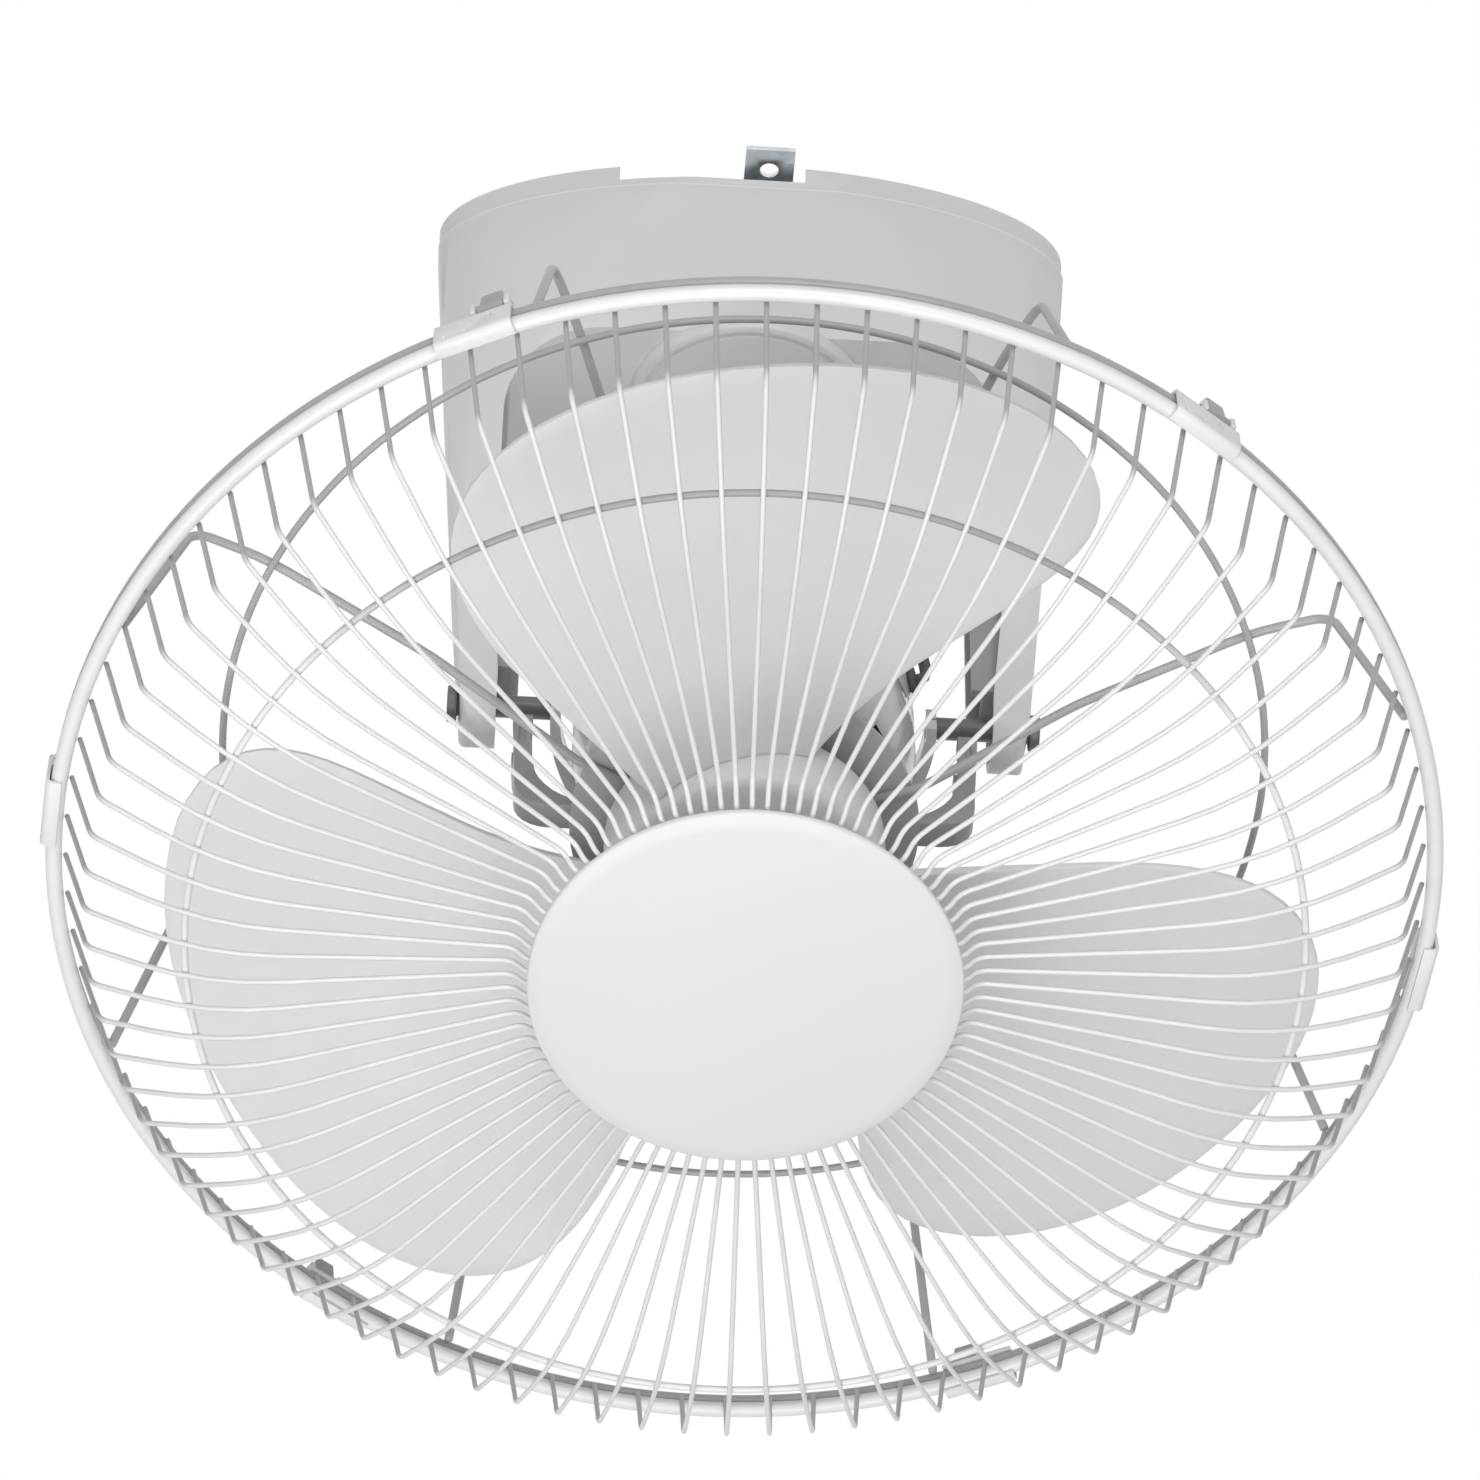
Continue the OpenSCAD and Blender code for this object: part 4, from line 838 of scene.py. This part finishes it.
def hub():
    """The hub: a cup with a rounded shoulder and a boss inside, and its ribbed nut."""
    inside = HUB_FRONT - HUB_WALL
    profile = [(HUB_R - HUB_WALL, HUB_REAR), (HUB_R - 0.5, HUB_REAR), (HUB_R, HUB_REAR + 0.5)]
    profile += [(HUB_R, HUB_FRONT - HUB_ROUND)]
    profile += quarter_round(HUB_R - HUB_ROUND, HUB_FRONT - HUB_ROUND, HUB_ROUND, 7)
    profile += [(26, HUB_FRONT), (24.5, HUB_FRONT - 0.8), (18, HUB_FRONT - 0.8), (17, HUB_FRONT)]
    profile += [(HUB_BORE_R, HUB_FRONT), (HUB_BORE_R, HUB_FRONT - 24), (HUB_BOSS_R, HUB_FRONT - 24)]
    profile += [(HUB_BOSS_R, inside), (HUB_R - HUB_ROUND, inside), (HUB_R - HUB_WALL, inside - 4)]
    shell = turned("hub_shell", profile, 128, closed=True)
    soften(shell, 0, angle=40)
    settle(shell, HEAD, "rotor", "blade_plastic", "fan_hub")
    seat = HUB_FRONT + 0.05
    profile = [(HUB_BORE_R, seat), (NUT_R, seat), (NUT_R, NUT_FRONT - NUT_ROUND)]
    profile += quarter_round(NUT_R - NUT_ROUND, NUT_FRONT - NUT_ROUND, NUT_ROUND, 5)
    profile += [(0, NUT_FRONT)]
    nut = turned("hub_nut_cap", profile, 72)
    only(nut)
    bpy.ops.object.mode_set(mode="EDIT")
    pick(nut, on_groove)
    bpy.ops.mesh.inset(thickness=0.4, use_individual=False)
    bpy.ops.transform.resize(value=(0.94, 0.94, 1), center_override=(0, 0, 0))
    bpy.ops.object.mode_set(mode="OBJECT")
    soften(nut, 0, angle=30)
    settle(nut, HEAD, "rotor", "blade_plastic", "hub_nut")


def on_groove(co, normal):
    """Whether a face of the nut's wall is a groove between two ribs, each as wide as a rib."""
    on_wall = co.xy.length > NUT_R - 0.5 and HUB_FRONT + 1 < co.z < NUT_FRONT - NUT_ROUND - 1
    return on_wall and (math.degrees(math.atan2(co.y, co.x)) / (2 * NUT_RIB)) % 1 < 0.5


# ---- Clips ----
CLIP_BACK = REAR_RIM_A - REAR_RIM_D / 2 - 0.1
CLIP_FRONT = RIM_A + FRONT_RIM_D / 2 + 0.1
CLIP_OUT, CLIP_BEND = GUARD_R + 0.2 + CLIP_T / 2, 2.0
CLIP_LEG, CLIP_LIP = GUARD_R - 5.2, GUARD_R - 4
LEVER_R, LEVER_A = GUARD_R - 1, CLIP_BACK + 0.1 - CLIP_T - 2.7
LEVER_BARREL_R, LUG_T, LUG_W, LUG_DROP = 2.2, 2.0, 5.2, 2.6
DIMPLE_R, DIMPLE_DEEP = 1.0, 1.6
DIMPLES = [(LEVER_OFF, CLIP_BACK + 3.4), (2.5, CLIP_FRONT - 1.6), (9.5, CLIP_FRONT - 1.2)]


def clip_saddle():
    """A clip: a strip bent round both rims, with dimples, and two lugs for the lever."""
    back, front = CLIP_BACK - CLIP_T / 2, CLIP_FRONT + CLIP_T / 2
    path = [(CLIP_LEG + 1, back), (CLIP_OUT, back), (CLIP_OUT, front), (CLIP_LIP, front)]
    bpy.ops.object.select_all(action="DESELECT")
    bpy.ops.mesh.primitive_plane_add(size=1, location=(CLIP_LEG + 0.5, 0, back))
    strip = named("clip_strip")
    strip.scale = (1, CLIP_W, 1)
    bpy.ops.object.transform_apply(location=True, rotation=True, scale=True)
    bpy.ops.object.mode_set(mode="EDIT")
    pick(strip, lambda co, n: co.x > CLIP_LEG + 0.5, "VERT")
    follow(path, [0, CLIP_BEND, CLIP_BEND, 0], 15)
    bpy.ops.object.mode_set(mode="OBJECT")
    tidy_normals(strip)
    modify(strip, "SOLIDIFY", thickness=CLIP_T, offset=0)
    tidy_normals(strip)
    for across, height in DIMPLES:
        place = (CLIP_OUT + CLIP_T / 2, across, height)
        cut_away(strip, rod("dimple", DIMPLE_R, DIMPLE_DEEP, place, (0, math.pi / 2, 0), 16))
    soften(strip, 0.35, segments=2, angle=50)
    pieces = [strip]
    for side in (-1, 1):
        middle = LEVER_OFF + side * (LEVER_W / 2 + 0.3 + LUG_T / 2)
        low, high = LEVER_A - LUG_DROP, CLIP_BACK - CLIP_T + 0.2
        lug = block("clip_lug", (LUG_W, LUG_T, high - low), (LEVER_R, middle, (low + high) / 2))
        soften(lug, 0.8, segments=3, angle=50)
        pieces.append(lug)
    return joined("guard_clip", *pieces)


def clip_lever():
    """A lever: a barrel on its pin, and a thumb tab with rounded corners."""
    middle = (LEVER_R, LEVER_OFF, LEVER_A)
    barrel = rod("lever_barrel", LEVER_BARREL_R, LEVER_W, middle, (math.pi / 2, 0, 0))
    soften(barrel, 0.3, angle=50)
    place = (LEVER_R, LEVER_OFF, LEVER_A - LEVER_H / 2)
    tab = block("lever_tab", (LEVER_T, LEVER_W, LEVER_H), place)
    bpy.ops.object.mode_set(mode="EDIT")
    pick(tab, lambda co, n: n.z < -0.9)
    foot = (LEVER_R, LEVER_OFF, LEVER_A - LEVER_H)
    bpy.ops.transform.resize(value=(0.8, 0.82, 1), center_override=foot)
    bpy.ops.object.mode_set(mode="OBJECT")
    soften(tab, 0.95, segments=4, angle=50)
    return joined("clip_lever", barrel, tab)


def guard_clips():
    """Six clips on the rims, each with a lever that rides on its own body."""
    settle(around(clip_saddle(), CLIPS, CLIP_TURN), HEAD, "head", "clip_plastic", "guard_clips")
    lever = clip_lever()
    for index in range(CLIPS):
        copy = lever.copy()
        copy.data = lever.data.copy()
        copy.name = copy.data.name = f"thumb_lever_{index + 1}"
        bpy.context.scene.collection.objects.link(copy)
        turn = Matrix.Rotation(math.radians(CLIP_TURN + index * 360 / CLIPS), 4, "Z")
        node = f"clip_lever_{index + 1}"
        settle(copy, HEAD @ turn, node, "shaded_lever_plastic", node)
    bpy.data.objects.remove(lever)


# ---- Pieces dressed from their solids: width of the rounded edges, and finish ----
DRESSED = {
    "ceiling_plate": (0.25, "zinc"),
    "yoke_frame": (0.4, "dark_paint"),
    "yoke_screws": (0.2, "steel"),
    "housing": (0.4, "housing_plastic"),
    "housing_screws": (0.2, "steel"),
    "orbit_boss": (0.3, "boss_plastic"),
    "orbit_bridge": (0.3, "zinc"),
    "orbit_post": (0.3, "zinc"),
    "post_nut": (0.3, "zinc"),
    "post_socket": (0.4, "nylon"),
    "terminal_block": (0.4, "nylon"),
    "capacitor": (0.8, "black_plastic"),
    "tilt_bushes": (0.2, "nylon"),
    "gimbal_fork": (0.8, "motor_enamel"),
    "tilt_pins": (0.4, "dark_screw"),
    "roll_bush": (0.2, "nylon"),
    "roll_pin": (0.4, "steel"),
    "rear_cover": (0.4, "motor_enamel"),
    "front_cover": (0.3, "motor_enamel"),
    "stator_core": (0.2, "steel"),
    "windings": (0.4, "copper_wire"),
    "rear_bearing": (0.2, "steel"),
    "front_bearing": (0.2, "steel"),
    "head_cradle": (0.6, "dark_paint"),
    "cradle_screws": (0.2, "steel"),
    "orbit_bracket": (0.3, "zinc"),
    "orbit_motor": (0.4, "zinc"),
    "motor_lead": (0.0, "black_rubber"),
    "lead_gland": (0.3, "black_rubber"),
    "rear_guard_hub": (0.3, "rear_wire_grey_and_shade"),
    "badge_plate": (0.2, "zinc"),
    "badge_screws": (0.2, "steel"),
    "clip_pins": (0.2, "steel"),
    "fan_shaft": (0.3, "steel"),
    "rotor_core": (0.3, "steel"),
    "crank_arm": (0.4, "zinc"),
    "crank_ball": (0.2, "steel"),
}
BODIES = frame["record"]["behaviour"]["bodies"]
BODY_OF = {node: body for body, nodes in BODIES.items() for node in nodes}


def dress_solids():
    """Rounded copies of the solids that already have their whole form."""
    for node, (width, look) in DRESSED.items():
        settle(from_solid(node, width), CEILING, BODY_OF[node], look, node)


# ---- Camera, light and floor ----
CAMERA_PLACE = Vector((-0.0764, -1.4330, -1.4868))
CAMERA_WAY = Vector((0.0397, 0.7554, 0.6541)).normalized()
CAMERA_ROLL = math.radians(0.95)
LENS, SENSOR = 131.3, 36
FLOOR_Z, FLOOR_SIZE, FLOOR_GLOW = -2.4, 6, 0.67
LIGHT_AIM = (0, 0, -0.3)
WORLD_LEVEL = 0.36


def camera():
    """The camera at the photograph's viewing angle."""
    level = Vector((CAMERA_WAY.y, -CAMERA_WAY.x, 0)).normalized()
    above = level.cross(CAMERA_WAY)
    right = math.cos(CAMERA_ROLL) * level + math.sin(CAMERA_ROLL) * above
    up = math.cos(CAMERA_ROLL) * above - math.sin(CAMERA_ROLL) * level
    turn = Matrix((right, up, -CAMERA_WAY)).transposed().to_4x4()
    bpy.ops.object.camera_add()
    lens = bpy.context.object
    lens.data.lens = LENS
    lens.data.sensor_width = SENSOR
    lens.matrix_world = Matrix.Translation(CAMERA_PLACE) @ turn
    bpy.context.scene.camera = lens


def lamp(name, place, size, power):
    """A soft square lamp that looks at the fan."""
    bpy.ops.object.light_add(type="AREA", location=place)
    light = bpy.context.object
    light.name = name
    light.data.size = size
    light.data.energy = power
    light.rotation_euler = (Vector(LIGHT_AIM) - Vector(place)).to_track_quat("-Z", "Y").to_euler()


def see_white(tree, plain, white):
    """Shows the white shader to camera, mirror and glass rays, and the plain one to all others."""
    path = tree.nodes.new("ShaderNodeLightPath")
    largest = path.outputs["Is Camera Ray"]
    for label in ("Is Glossy Ray", "Is Transmission Ray"):
        top = tree.nodes.new("ShaderNodeMath")
        top.operation = "MAXIMUM"
        tree.links.new(largest, top.inputs[0])
        tree.links.new(path.outputs[label], top.inputs[1])
        largest = top.outputs["Value"]
    choose = tree.nodes.new("ShaderNodeMixShader")
    tree.links.new(largest, choose.inputs["Fac"])
    tree.links.new(plain, choose.inputs[1])
    tree.links.new(white, choose.inputs[2])
    return choose.outputs["Shader"]


def studio():
    """White surroundings, two soft lamps, and a pale floor that keeps the fan's shadow."""
    world = bpy.data.worlds.new("studio")
    bpy.context.scene.world = world
    world.use_nodes = True
    tree = world.node_tree
    plain = tree.nodes["Background"]
    plain.inputs["Color"].default_value = (1, 1, 1, 1)
    plain.inputs["Strength"].default_value = WORLD_LEVEL
    white = tree.nodes.new("ShaderNodeBackground")
    white.inputs["Color"].default_value = (1, 1, 1, 1)
    white.inputs["Strength"].default_value = 1.0
    out = tree.nodes["World Output"]
    shown = see_white(tree, plain.outputs["Background"], white.outputs["Background"])
    tree.links.new(shown, out.inputs["Surface"])
    lamp("key", (-0.3, -0.6, -2.2), 2.0, 33)
    lamp("fill", (0.2, -2.4, -0.6), 1.4, 18)
    bpy.ops.mesh.primitive_plane_add(size=FLOOR_SIZE, location=(0, 0, FLOOR_Z))
    floor = named("floor")
    material = bpy.data.materials.new("pale_floor")
    material.use_nodes = True
    tree = material.node_tree
    shader = tree.nodes["Principled BSDF"]
    shader.inputs["Base Color"].default_value = (0.86, 0.86, 0.86, 1)
    shader.inputs["Roughness"].default_value = 0.8
    glow = tree.nodes.new("ShaderNodeEmission")
    glow.inputs["Strength"].default_value = FLOOR_GLOW
    both = tree.nodes.new("ShaderNodeAddShader")
    tree.links.new(shader.outputs["BSDF"], both.inputs[0])
    tree.links.new(glow.outputs["Emission"], both.inputs[1])
    shown = see_white(tree, shader.outputs["BSDF"], both.outputs["Shader"])
    tree.links.new(shown, tree.nodes["Material Output"].inputs["Surface"])
    floor.data.materials.append(material)


front_guard()
rear_guard()
guard_rings()
cap()
blades()
hub()
guard_clips()
dress_solids()
studio()
camera()
bpy.context.scene.view_settings.view_transform = "Standard"
